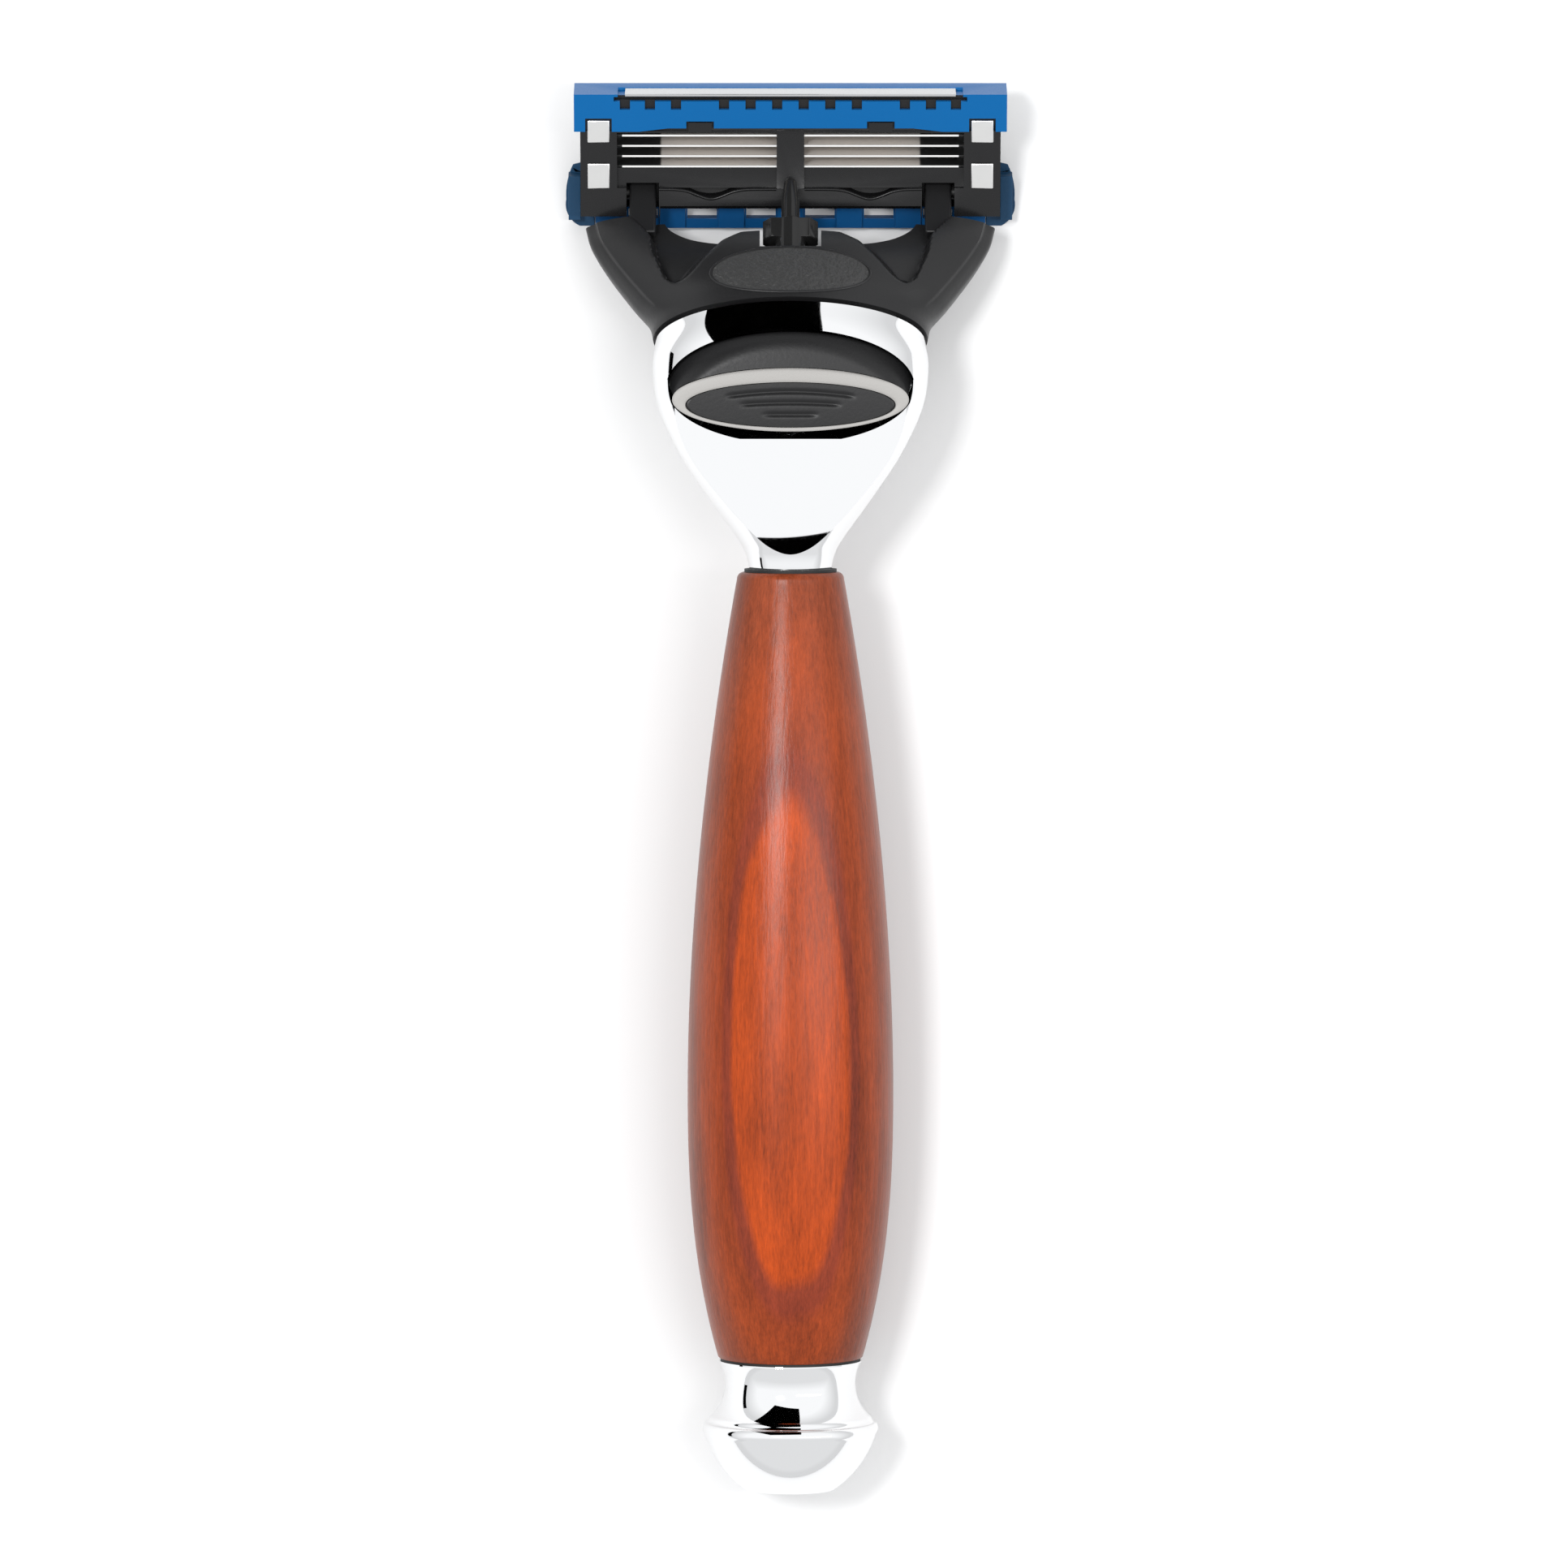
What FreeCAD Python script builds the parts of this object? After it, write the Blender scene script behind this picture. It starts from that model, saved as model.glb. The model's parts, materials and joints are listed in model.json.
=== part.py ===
import FreeCAD, Part
import os
import re
import Sketcher
from math import atan2, cos, pi, radians, sin
from FreeCAD import Placement, Rotation, Vector

# A cartridge razor lying face down: X across, Y along the handle to the head, Z up, in mm.
# Three groups share the frame: the handle, the docking connector and the blade cartridge.

doc = FreeCAD.newDocument("cartridge_razor")
sheet = doc.addObject("Spreadsheet::Sheet", "Sizes")

SIZES = {
    # where the three groups lie
    "foot_to_middle": 68.79,
    "handle_height": 8.206,
    "handle_tilt": 3.5,
    "rim_along": 112.0,
    "rim_height": 11.55,
    "dock_tilt": 30.0,
    "cartridge_along": 124.3,
    "cartridge_tilt": 20.0,
    # the grip and its end cap, turned about the handle's axis
    "grip_start": 13.0,
    "grip_end": 89.9,
    "grip_foot_radius": 7.06,
    "grip_belly_radius": 10.05,
    "grip_neck_radius": 5.1,
    "grip_belly_along": 39.4,
    "grip_edge": 0.7,
    "grip_bore": 2.6,
    "cap_foot_radius": 4.4,
    "cap_rim_radius": 8.6,
    "cap_rim_along": 6.2,
    "cap_top_radius": 6.95,
    "gasket": 0.25,
    "rod_radius": 2.4,
    "rod_start": 4.0,
    "rod_end": 98.0,
    # the metal head
    "neck_radius": 4.0,
    "neck_start": 90.2,
    "bend_start": 100.4,
    "bend_radius": 21.0,
    "rim_half_width": 13.2,
    "rim_half_depth": 6.8,
    "scoop_radius": 30.0,
    "opening_half_width": 12.1,
    "opening_half_length": 5.55,
    "opening_along": 107.65,
    # the eject button
    "button_half_width": 11.8,
    "button_half_length": 4.85,
    "button_along": 108.15,
    "seat_tilt": 7.4,
    "trim_half_width": 11.55,
    "trim_half_length": 3.15,
    "trim_thick": 0.7,
    "pad_half_width": 10.2,
    "pad_half_length": 2.2,
    "pad_thick": 0.55,
    # the spring plunger that holds the cartridge back
    "plunger_line": 4.0,
    "plunger_radius": 0.9,
    "plunger_flange": 1.14,
    "plunger_tip": 0.66,
    "tip_centre": 15.95,
    "collar_radius": 1.5,
    "collar_bore": 1.2,
    "collar_front": 11.4,
    # the connector's pivot, seen along the dock
    "pivot_along": 17.13,
    "pivot_up": 0.8,
    "lug_radius": 1.1,
    "pin_radius": 0.7,
    "lug_inner": 13.2,
    "lug_outer": 15.8,
    "pin_end": 17.4,
    # the cartridge: u from guard to cap, w from the skin plane to the back
    "body_half_width": 20.6,
    "body_back": 4.6,
    "body_front": 0.5,
    "cap_face": 14.1,
    "pivot_u": 4.0,
    "pivot_w": 2.4,
    "window_half_width": 17.0,
    "window_low": 5.1,
    "window_high": 10.75,
    "first_edge": 5.3,
    "blade_span": 1.05,
    "blade_half_width": 16.6,
    "blade_thick": 0.1,
    "clip_inner": 17.7,
    "clip_outer": 19.9,
    "band_half_width": 21.2,
    "band_low": 10.95,
    "band_top": 14.75,
    "band_back": 4.9,
}
for row, (name, value) in enumerate(SIZES.items(), 1):
    sheet.set(f"A{row}", name)
    sheet.set(f"B{row}", str(value))
    sheet.setAlias(f"B{row}", name)
doc.recompute()


def linked(text):
    """A size expression with its names pointing at the sheet."""
    return re.sub(r"[a-z_]+", lambda m: "Sizes." + m.group() if m.group() in SIZES else m.group(), str(text))


def size(text):
    """The number that a size expression stands for."""
    return float(text) if isinstance(text, (int, float)) else float(sheet.evalExpression(linked(text)))


def bind(thing, prop, text):
    """Set a property, and keep it tied to the sheet when the value is an expression."""
    if prop in thing.PropertiesList:
        setattr(thing, prop, size(text))
    if isinstance(text, str):
        thing.setExpression(prop, linked(text))


# ---- sketches -------------------------------------------------------------------------------

def pin_point(sketch, geo, end, x, y):
    """Hold one end of a line or arc at (x, y)."""
    for kind, axis, value in (("DistanceX", -2, x), ("DistanceY", -1, y)):
        number = size(value)
        if abs(number) < 1e-9:
            sketch.addConstraint(Sketcher.Constraint("PointOnObject", geo, end, axis))
            continue
        if number > 0:
            index = sketch.addConstraint(Sketcher.Constraint(kind, -1, 1, geo, end, number))
        else:
            index = sketch.addConstraint(Sketcher.Constraint(kind, geo, end, -1, 1, -number))
        if isinstance(value, str):
            sketch.setExpression(f"Constraints[{index}]", linked(value if number > 0 else f"-({value})"))


def arc_between(start, middle, end):
    """The arc through three points, drawn anticlockwise, and whether it runs backwards."""
    arc = Part.Arc(start, middle, end).toShape().Curve
    backwards = (middle - start).cross(end - middle).z < 0
    low, high = (end, start) if backwards else (start, end)
    angles = [atan2(p.y - arc.Center.y, p.x - arc.Center.x) for p in (low, high)]
    if angles[1] < angles[0]:
        angles[1] += 2 * pi
    circle = Part.Circle(arc.Center, Vector(0, 0, 1), arc.Radius)
    return Part.ArcOfCircle(circle, *angles), backwards


def draw(sketch, path):
    """Draw a closed chain. A corner is (x, y); (x, y, 'arc') is a point an arc passes through;
    ('curve', points) is a smooth curve through points between two corners."""
    corners = [k for k, step in enumerate(path) if len(step) == 2 and step[0] != "curve"]
    pieces = []
    for n, k in enumerate(corners):
        after = corners[(n + 1) % len(corners)]
        middle = path[k + 1] if (k + 1) % len(path) != after and k + 1 < len(path) else None
        start = Vector(size(path[k][0]), size(path[k][1]), 0)
        end = Vector(size(path[after][0]), size(path[after][1]), 0)
        ends = (1, 2)
        if middle is None:
            geo = sketch.addGeometry(Part.LineSegment(start, end), False)
        elif middle[0] == "curve":
            curve = Part.BSplineCurve()
            curve.interpolate([start] + [Vector(x, y, 0) for x, y in middle[1]] + [end])
            geo = sketch.addGeometry(curve, False)
        else:
            arc, backwards = arc_between(start, Vector(size(middle[0]), size(middle[1]), 0), end)
            geo = sketch.addGeometry(arc, False)
            sketch.addConstraint(Sketcher.Constraint("Radius", geo, arc.Radius))
            ends = (2, 1) if backwards else (1, 2)
        pieces.append((geo, ends, path[k]))
    for n, (geo, ends, corner) in enumerate(pieces):
        after_geo, after_ends, after_corner = pieces[(n + 1) % len(pieces)]
        sketch.addConstraint(Sketcher.Constraint("Coincident", geo, ends[1], after_geo, after_ends[0]))
        pin_point(sketch, geo, ends[0], corner[0], corner[1])


def mirrored(path):
    """Add the mirror image in x of a half outline that starts and ends on the middle line."""
    other = []
    for step in path[-2:0:-1]:
        x = -step[0] if not isinstance(step[0], str) else f"-({step[0]})"
        other.append((x,) + tuple(step[1:]))
    return list(path) + other


TURNS = {
    "XY": Rotation(),
    "XZ": Rotation(Vector(1, 0, 0), 90),
    "YZ": Rotation(Vector(1, 1, 1), 120),
}


def outline(name, plane, path, offset=0.0):
    """A sketch of a closed chain on a plane moved along its own normal."""
    sketch = doc.addObject("Sketcher::SketchObject", name)
    normal = TURNS[plane].multVec(Vector(0, 0, 1))
    sketch.Placement = Placement(normal * size(offset), TURNS[plane])
    draw(sketch, path)
    return sketch


def prism(name, plane, path, start, end):
    """A sketch pulled along its normal from start to end."""
    sketch = outline(name + "_sketch", plane, path, start)
    solid = doc.addObject("Part::Extrusion", name)
    solid.Base = sketch
    solid.DirMode = "Normal"
    solid.Solid = True
    bind(solid, "LengthFwd", f"({end}) - ({start})")
    return solid


def block(name, x0, x1, y0, y1, z0, z1):
    """A box between two corners."""
    box = doc.addObject("Part::Box", name)
    for prop, low, high in (("Length", x0, x1), ("Width", y0, y1), ("Height", z0, z1)):
        bind(box, prop, f"({high}) - ({low})")
    box.Placement = Placement(Vector(size(x0), size(y0), size(z0)), Rotation())
    return box


def rod(name, radius, start, length, direction):
    """A cylinder from a start point along a direction."""
    bar = doc.addObject("Part::Cylinder", name)
    bind(bar, "Radius", radius)
    bind(bar, "Height", length)
    turn = Rotation(Vector(0, 0, 1), Vector(*direction))
    bar.Placement = Placement(Vector(*[size(v) for v in start]), turn)
    return bar


def ellipse(name, half_width, half_depth, y, z, tilt):
    """An ellipse across the way ahead; tilt leans its plane's normal down toward the face."""
    ring = doc.addObject("Part::Ellipse", name)
    bind(ring, "MajorRadius", half_width)
    bind(ring, "MinorRadius", half_depth)
    ring.Placement = Placement(Vector(0, size(y), size(z)), Rotation(Vector(1, 0, 0), 90 - tilt))
    return ring


def loft(name, sections):
    """A solid skinned over a row of ellipses."""
    skin = doc.addObject("Part::Loft", name)
    skin.Sections = [ellipse(f"{name}_{n}", *section) for n, section in enumerate(sections)]
    skin.Solid = True
    return skin


def join(name, *solids):
    fused = doc.addObject("Part::MultiFuse", name)
    fused.Shapes = list(solids)
    fused.Refine = True
    return fused


def cut(name, base, *tools):
    result = doc.addObject("Part::Cut", name)
    result.Base = base
    result.Tool = tools[0] if len(tools) == 1 else join(name + "_tools", *tools)
    return result


def common(name, *solids):
    shared = doc.addObject("Part::MultiCommon", name)
    shared.Shapes = list(solids)
    return shared


def turned(label, path):
    """A body turned about the handle's axis from a half section of (radius, along)."""
    body = doc.addObject("PartDesign::Body", label)
    sketch = body.newObject("Sketcher::SketchObject", label + "_section")
    plane = next(f for f in body.Origin.OriginFeatures if f.Role == "XY_Plane")
    sketch.AttachmentSupport = [(plane, "")]
    sketch.MapMode = "FlatFace"
    draw(sketch, path)
    solid = body.newObject("PartDesign::Revolution", label + "_turned")
    solid.Profile = sketch
    solid.ReferenceAxis = (sketch, ["V_Axis"])
    solid.Angle = 360
    return body


def coil(label, mean_radius, wire_radius, pitch, height):
    """A round-wire coil spring standing on the body's own XY plane."""
    body = doc.addObject("PartDesign::Body", label)
    sketch = body.newObject("Sketcher::SketchObject", label + "_wire")
    plane = next(f for f in body.Origin.OriginFeatures if f.Role == "XZ_Plane")
    sketch.AttachmentSupport = [(plane, "")]
    sketch.MapMode = "FlatFace"
    sketch.addGeometry(Part.Circle(Vector(mean_radius, wire_radius, 0), Vector(0, 0, 1), wire_radius), False)
    wound = body.newObject("PartDesign::AdditiveHelix", label + "_wound")
    wound.Profile = sketch
    wound.ReferenceAxis = (sketch, ["V_Axis"])
    wound.Mode = 0
    wound.Pitch = pitch
    wound.Height = height - 2 * wire_radius
    return body


# ---- group frames ---------------------------------------------------------------------------

SHIFT = size("foot_to_middle")
TILT = radians(size("handle_tilt"))
HANDLE = Placement(Vector(0, -SHIFT, size("handle_height")), Rotation(Vector(1, 0, 0), size("handle_tilt")))
DOCK = Placement(
    Vector(0, size("rim_along") - SHIFT, size("rim_height")), Rotation(Vector(1, 0, 0), -size("dock_tilt"))
)
CARTRIDGE = Placement(
    Vector(0, size("cartridge_along") - SHIFT, 0), Rotation(Vector(1, 0, 0), size("cartridge_tilt"))
)
LEVEL = Placement(Vector(0, -SHIFT, 0), Rotation())
seat_low = Vector(0, 106.45 - SHIFT, 16.57)
SEAT = Placement(seat_low, Rotation(Vector(1, 0, 0), size("seat_tilt")))

nodes = {}


def keep(label, thing, frame):
    """Name a finished piece and lay it in its group's frame."""
    thing.Label = label
    nodes[label] = (thing, frame)


def seen_from(frame, other, thing):
    """Lay a tool drawn in one frame into another group's frame."""
    thing.Placement = frame.inverse().multiply(other).multiply(thing.Placement)
    return thing


# ---- handle ---------------------------------------------------------------------------------

def grip_radius(along):
    """Fullest at the belly, easing to a narrow foot and a slimmer neck."""
    belly = size("grip_belly_along")
    if along < belly:
        part = (belly - along) / (belly - size("grip_start"))
        return size("grip_belly_radius") - size("grip_belly_radius - grip_foot_radius") * part**2.5
    part = (along - belly) / (size("grip_end") - belly)
    return size("grip_belly_radius") - size("grip_belly_radius - grip_neck_radius") * part**1.85


top_edge = size("grip_end - grip_edge")
stations = (16.0, 20.0, 26.0, 33.0, 40.0, 48.0, 58.0, 68.0, 78.0)
grip = turned(
    "wood_grip",
    [
        ("grip_bore", "grip_start"),
        ("grip_foot_radius", "grip_start"),
        ("curve", [(grip_radius(a), a) for a in stations]),
        (grip_radius(top_edge), top_edge),
        (grip_radius(top_edge) - 0.2, top_edge + 0.5, "arc"),
        (grip_radius(top_edge) - 0.75, "grip_end"),
        ("grip_bore", "grip_end"),
    ],
)
keep("wood_grip", grip, HANDLE)

end_cap = turned(
    "end_cap",
    [
        (0, 0),
        ("cap_foot_radius", 0),
        (7.05, 2.6, "arc"),
        (8.5, 5.6),
        ("cap_rim_radius", "cap_rim_along", "arc"),
        (8.4, 6.7),
        (6.62, 9.5, "arc"),
        ("cap_top_radius", "grip_start - gasket"),
        ("rod_radius", "grip_start - gasket"),
        ("rod_radius", "rod_start"),
        (0, "rod_start"),
    ],
)
keep("end_cap", end_cap, HANDLE)

ring_path = lambda low, high, outer: [("grip_bore", low), (outer, low), (outer, high), ("grip_bore", high)]
keep("end_gasket", turned("end_gasket", ring_path("grip_start - gasket", "grip_start", 6.85)), HANDLE)
neck_outer = grip_radius(top_edge) - 0.72
keep("neck_gasket", turned("neck_gasket", ring_path("grip_end", "neck_start", neck_outer)), HANDLE)
tie_rod = rod("tie_rod", "rod_radius", (0, "rod_start", 0), "rod_end - rod_start", (0, 1, 0))
keep("tie_rod", tie_rod, HANDLE)


def bend(angle):
    """Height along and across the handle of the head's middle line after it turns down."""
    turn = radians(angle)
    return size("bend_start") + size("bend_radius") * sin(turn), -size("bend_radius") * (1 - cos(turn))


rim_y, rim_z = bend(33.5)
rim_turn = radians(39.5)
head_skin = loft(
    "head_skin",
    [
        (4.02, "neck_radius", "neck_start", 0, 0),
        (4.4, 4.15, 91.7, 0, 0),
        (5.3, 4.6, 93.3, 0, 0),
        (7.95, 5.3, 97.0, 0, 0),
        (10.8, 5.95, 101.3, 0, 3),
        (12.9, 6.4, bend(15)[0], bend(15)[1], 16),
        (13.5, 6.75, bend(26)[0], bend(26)[1], 28),
        ("rim_half_width", "rim_half_depth", rim_y, rim_z, 39.5),
    ],
)


def cavity_loft(name):
    """The hollow behind the rim, a wall's thickness inside the skin."""
    return loft(
        name,
        [
            (9.4, 2.7, 102.6, -1.7, 8),
            (11.7, 5.0, 105.8, -1.0, 18),
            (12.5, 5.85, bend(26)[0], bend(26)[1], 28),
            (12.3, 5.9, rim_y, rim_z, 39.5),
            (12.3, 5.9, rim_y + 2 * cos(rim_turn), rim_z - 2 * sin(rim_turn), 39.5),
        ],
    )


scoop = rod("scoop", "scoop_radius", (-20, 102.4, 32.2), 40, (1, 0, 0))
mouth = doc.addObject("Part::Ellipse", "mouth_ellipse")
bind(mouth, "MajorRadius", "opening_half_width")
bind(mouth, "MinorRadius", "opening_half_length")
mouth.Placement = Placement(Vector(0, size("opening_along"), 14.5), Rotation())
opening = doc.addObject("Part::Extrusion", "opening")
opening.Base = mouth
opening.DirMode = "Normal"
opening.LengthFwd = 10
opening.Solid = True
mouth.Placement = HANDLE.inverse().multiply(LEVEL).multiply(mouth.Placement)
socket = rod("socket", "rod_radius", (0, "neck_start - 1", 0), "rod_end - neck_start + 1", (0, 1, 0))
head = cut("head_shell", head_skin, scoop, cavity_loft("cavity"), opening, socket)
keep("head_shell", head, HANDLE)

# The insert closes the front half of the mouth, fills the connector's back and carries the plunger.
cavity_part = common(
    "insert_plug",
    seen_from(DOCK, HANDLE, cavity_loft("insert_skin")),
    block("insert_half", -14, 14, -1.6, -0.5, -8, 0.2),
)
nose_ring = ellipse("nose_ring", 11.4, 5.5, 0.6, 0, 0)
nose = doc.addObject("Part::Extrusion", "nose")
nose.Base = nose_ring
nose.DirMode = "Custom"
nose.Dir = Vector(0, 1, 0)
nose.LengthFwd = 2.6
nose.Solid = True
bridge = block("insert_bridge", -8.4, 8.4, -0.8, 1.0, -4.0, 0.2)
insert_bore = rod("insert_bore", "collar_bore", (0, 0.9, "plunger_line"), 4, (0, 1, 0))
insert_solid = join("insert_solid", cavity_part, nose, bridge)
keep("docking_insert", cut("docking_insert", insert_solid, insert_bore), DOCK)

tube = rod("collar_tube", "collar_radius", (0, 3.2, "plunger_line"), "collar_front - 3.2", (0, 1, 0))
tee_path = mirrored(
    [(0, 2.9), (2.0, 2.9), (2.7, 3.5), (2.7, 4.4), (1.9, 5.2), (0, 5.2)]
)
tee = prism("collar_tee", "XZ", tee_path, "-collar_front", -9.2)
tube_bore = rod("tube_bore", "collar_bore", (0, 3.0, "plunger_line"), 7.4, (0, 1, 0))
front_hole = rod("front_hole", "plunger_radius + 0.07", (0, 10, "plunger_line"), 3, (0, 1, 0))
keep("plunger_collar", cut("plunger_collar", join("collar_solid", tube, tee), tube_bore, front_hole), DOCK)

plunger = turned(
    "plunger",
    [
        (0, 5.5),
        ("plunger_flange", 5.5),
        ("plunger_flange", 6.2),
        ("plunger_radius", 6.2),
        ("plunger_radius", 13.7),
        ("plunger_tip", "tip_centre"),
        ("plunger_tip * 0.7", "tip_centre + plunger_tip * 0.7", "arc"),
        (0.1, "tip_centre + plunger_tip - 0.01"),
        (0, "tip_centre + plunger_tip - 0.01"),
    ],
)
PLUNGER = DOCK.multiply(Placement(Vector(0, 0, size("plunger_line")), Rotation()))
keep("plunger", plunger, PLUNGER)

along = Rotation(Vector(1, 0, 0), -90)
plunger_spring = coil("plunger_spring", 0.85, 0.15, 0.9, 4.5)
keep("plunger_spring", plunger_spring, PLUNGER.multiply(Placement(Vector(0, 0.95, 0), along)))

# ---- eject button ---------------------------------------------------------------------------

button_ring = doc.addObject("Part::Ellipse", "button_ring")
bind(button_ring, "MajorRadius", "button_half_width")
bind(button_ring, "MinorRadius", "button_half_length")
button_ring.Placement = Placement(Vector(0, size("button_along"), 10), Rotation())
button_column = doc.addObject("Part::Extrusion", "button_column")
button_column.Base = button_ring
button_column.DirMode = "Normal"
button_column.LengthFwd = 12
button_column.Solid = True
button_side = [
    (103.2, 15.0),
    (106.93, 15.17),
    (110.91, 12.87),
    (113.05, 16.9),
    (111.6, 18.1, "arc"),
    (109.0, 18.0),
    (106.0, 17.3, "arc"),
    (103.2, 16.1),
]
button_slab = prism("button_slab", "YZ", button_side, -13, 13)
button_slab.Base.Placement = Placement(Vector(-13, 0, 0), TURNS["YZ"])
guide_ring = ellipse("guide_ring", 12.0, 5.5, -14, 0, 0)
guide = doc.addObject("Part::Extrusion", "guide")
guide.Base = guide_ring
guide.DirMode = "Custom"
guide.Dir = Vector(0, 1, 0)
guide.LengthFwd = 16
guide.Solid = True
guide.Placement = LEVEL.inverse().multiply(DOCK)
button_blank = common("button_blank", button_column, button_slab, guide)


def oval(name, half_width, half_length, centre, height, start=0.0):
    """An oval plate standing on the button's sloping seat."""
    ring = doc.addObject("Part::Ellipse", name + "_ring")
    bind(ring, "MajorRadius", half_width)
    bind(ring, "MinorRadius", half_length)
    ring.Placement = Placement(Vector(0, centre, start), Rotation())
    plate = doc.addObject("Part::Extrusion", name)
    plate.Base = ring
    plate.DirMode = "Normal"
    plate.Solid = True
    bind(plate, "LengthFwd", height)
    return plate


recess = oval("recess", "trim_half_width", "trim_half_length", 0.0, 6)
recess.Placement = LEVEL.inverse().multiply(SEAT)
keep("eject_button", cut("eject_button", button_blank, recess), LEVEL)

trim_plate = oval("trim_plate", "trim_half_width", "trim_half_length", 0.0, "trim_thick")
trim_hole = oval("trim_hole", "pad_half_width", "pad_half_length", -0.5, 3, -1.0)
keep("button_trim", cut("button_trim", trim_plate, trim_hole), SEAT)

pad_plate = oval("pad_plate", "pad_half_width", "pad_half_length", -0.5, "pad_thick")
pad_grooves = []
for number, y in enumerate((-1.55, -0.5, 0.55)):
    pad_grooves.append(block(f"pad_groove_{number}", -7.5, 7.5, y - 0.14, y + 0.14, "pad_thick - 0.2", 2))
keep("button_pad", cut("button_pad", pad_plate, *pad_grooves), SEAT)

pusher = block("pusher", -6, 6, -6.2, -1.7, 0.3, 0.59)
leg = block("pusher_leg", -3.5, 3.5, -6.2, -5.4, -4.0, 0.3)
keep("ejector", join("ejector", pusher, leg), DOCK)

button_spring = coil("button_spring", 0.95, 0.18, 1.1, 3.7)
keep("button_spring", button_spring, DOCK.multiply(Placement(Vector(0, -5.35, -2.2), along)))

# ---- connector ------------------------------------------------------------------------------

yoke_skin = loft(
    "yoke_skin",
    [
        (13.4, 6.8, 0.5, 0, 6),
        (13.9, 6.8, 2.4, 0, 2),
        (15.6, 6.7, 4.6, 0, 0),
        (17.9, 6.1, 8.0, 0, 0),
        (19.5, 5.0, 11.0, 0, 0),
        (20.1, 3.9, 13.3, 0, 0),
    ],
)
yoke_hollow = loft(
    "yoke_hollow",
    [
        (11.9, 5.9, -1.0, 0, 0),
        (14.0, 5.9, 4.0, 0, 0),
        (16.4, 5.1, 8.0, 0, 0),
        (17.8, 3.9, 11.0, 0, 0),
        (18.3, 2.7, 14.0, 0, 0),
    ],
)
front_edge = mirrored(
    [
        (0, 9.8),
        (6.6, 9.5),
        (10.4, 11.0, "arc"),
        (12.6, 13.6),
        (12.6, 20),
        (0, 20),
    ]
)
front_gap = prism("front_gap", "XY", front_edge, -12, 12)
collar_notch = block("collar_notch", -3.0, 3.0, 7.4, 12, 0, 9)
COLLAR_GAP = 0.25
collar_room = rod("collar_room", f"collar_radius + {COLLAR_GAP}", (0, -1.0, "plunger_line"), 9.0, (0, 1, 0))
yoke = cut("yoke", yoke_skin, yoke_hollow, front_gap, collar_notch, collar_room)
lugs = []
for side in (-1, 1):
    x_low = size("lug_inner") if side > 0 else -size("lug_outer")
    x_high = x_low + size("lug_outer - lug_inner")
    pivot = (0, "pivot_along", "pivot_up")
    low = size("pivot_up - lug_radius")
    high = size("pivot_up + lug_radius")
    lugs.append(block(f"lug_{side + 1}", x_low, x_high, 11.2, "pivot_along", low, high))
    lugs.append(rod(f"lug_end_{side + 1}", "lug_radius", (x_low, *pivot[1:]), x_high - x_low, (1, 0, 0)))
    lugs.append(block(f"lug_root_{side + 1}", x_low, x_high + 1.6, 11.2, 13.1, -2.6, 2.9))
    pin_start = min(0.0, side * size("pin_end")) if side < 0 else size("lug_outer") - 0.5
    pin_long = size("pin_end - lug_outer") + 0.5
    lugs.append(rod(f"pin_{side + 1}", "pin_radius", (pin_start, *pivot[1:]), pin_long, (1, 0, 0)))
keep("connector", join("connector", yoke, *lugs), DOCK)

# ---- cartridge ------------------------------------------------------------------------------

HOUSING_UNDER_BAND = 4.4
NOTCH_HALF = 0.5
CLIP_NOTCH = (17.5, 20.1)
u_low = 2.2
body_sides = ("-body_half_width", "body_half_width")
outer = block("body_outer", *body_sides, u_low, "cap_face", "body_front", "body_back")
end_faces = []
for side in (-1, 1):
    x0, x1 = sorted((side * size("window_half_width"), side * size("body_half_width")))
    end_faces.append(block(f"end_face_{side + 1}", x0, x1, u_low, "cap_face", 0.25, 1.0))
window = block(
    "window", "-window_half_width", "window_half_width", "window_low", "window_high", -1, "body_back + 1"
)
rib = block("centre_rib", -1.35, 1.35, 4.0, 11.0, 4.1, 4.5)
strip_seat = block("strip_seat", -17.3, 17.3, 11.0, 13.9, -1, 1.1)
# A shelf behind the first blade hides that blade's support from behind.
shelf = block("shelf", "-window_half_width", "window_half_width", 5.0, 7.05, 3.4, 4.1)
cap_step = block("cap_step", -25, 25, "band_low", 20, HOUSING_UNDER_BAND, 9)

# The back wall's edge over the blades waves between the plunger's rib and the lugs.
wave = mirrored(
    [
        (0, 5.0),
        (3.4, 5.05),
        (4.8, 4.95, "arc"),
        (6.0, 4.5),
        (7.8, 4.0, "arc"),
        (9.8, 4.5),
        (11.2, 4.95, "arc"),
        (12.8, 5.0),
        (12.8, 6.2),
        (0, 6.2),
    ]
)
wave_cut = prism("wave_cut", "XY", wave, 2.6, 8)
lug_rooms = []
pin_holes = []
for side in (-1, 1):
    x0, x1 = sorted((side * 12.9, side * 16.1))
    lug_rooms.append(block(f"lug_room_{side + 1}", x0, x1, 0, 5.5, 1.1, 9))
    start = 15.9 if side > 0 else -17.7
    pivot = (start, "pivot_u", "pivot_w")
    pin_holes.append(rod(f"pin_hole_{side + 1}", "pin_radius + 0.06", pivot, 1.8, (1, 0, 0)))
clip_path = [
    (5.1, 0.0),
    (12.1, 0.0),
    (12.1, 4.85),
    (9.8, 4.85),
    (9.8, 4.6),
    (11.85, 4.6),
    (11.85, 0.25),
    (5.35, 0.25),
    (5.35, 4.6),
    (7.7, 4.6),
    (7.7, 4.85),
    (5.1, 4.85),
]


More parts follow.
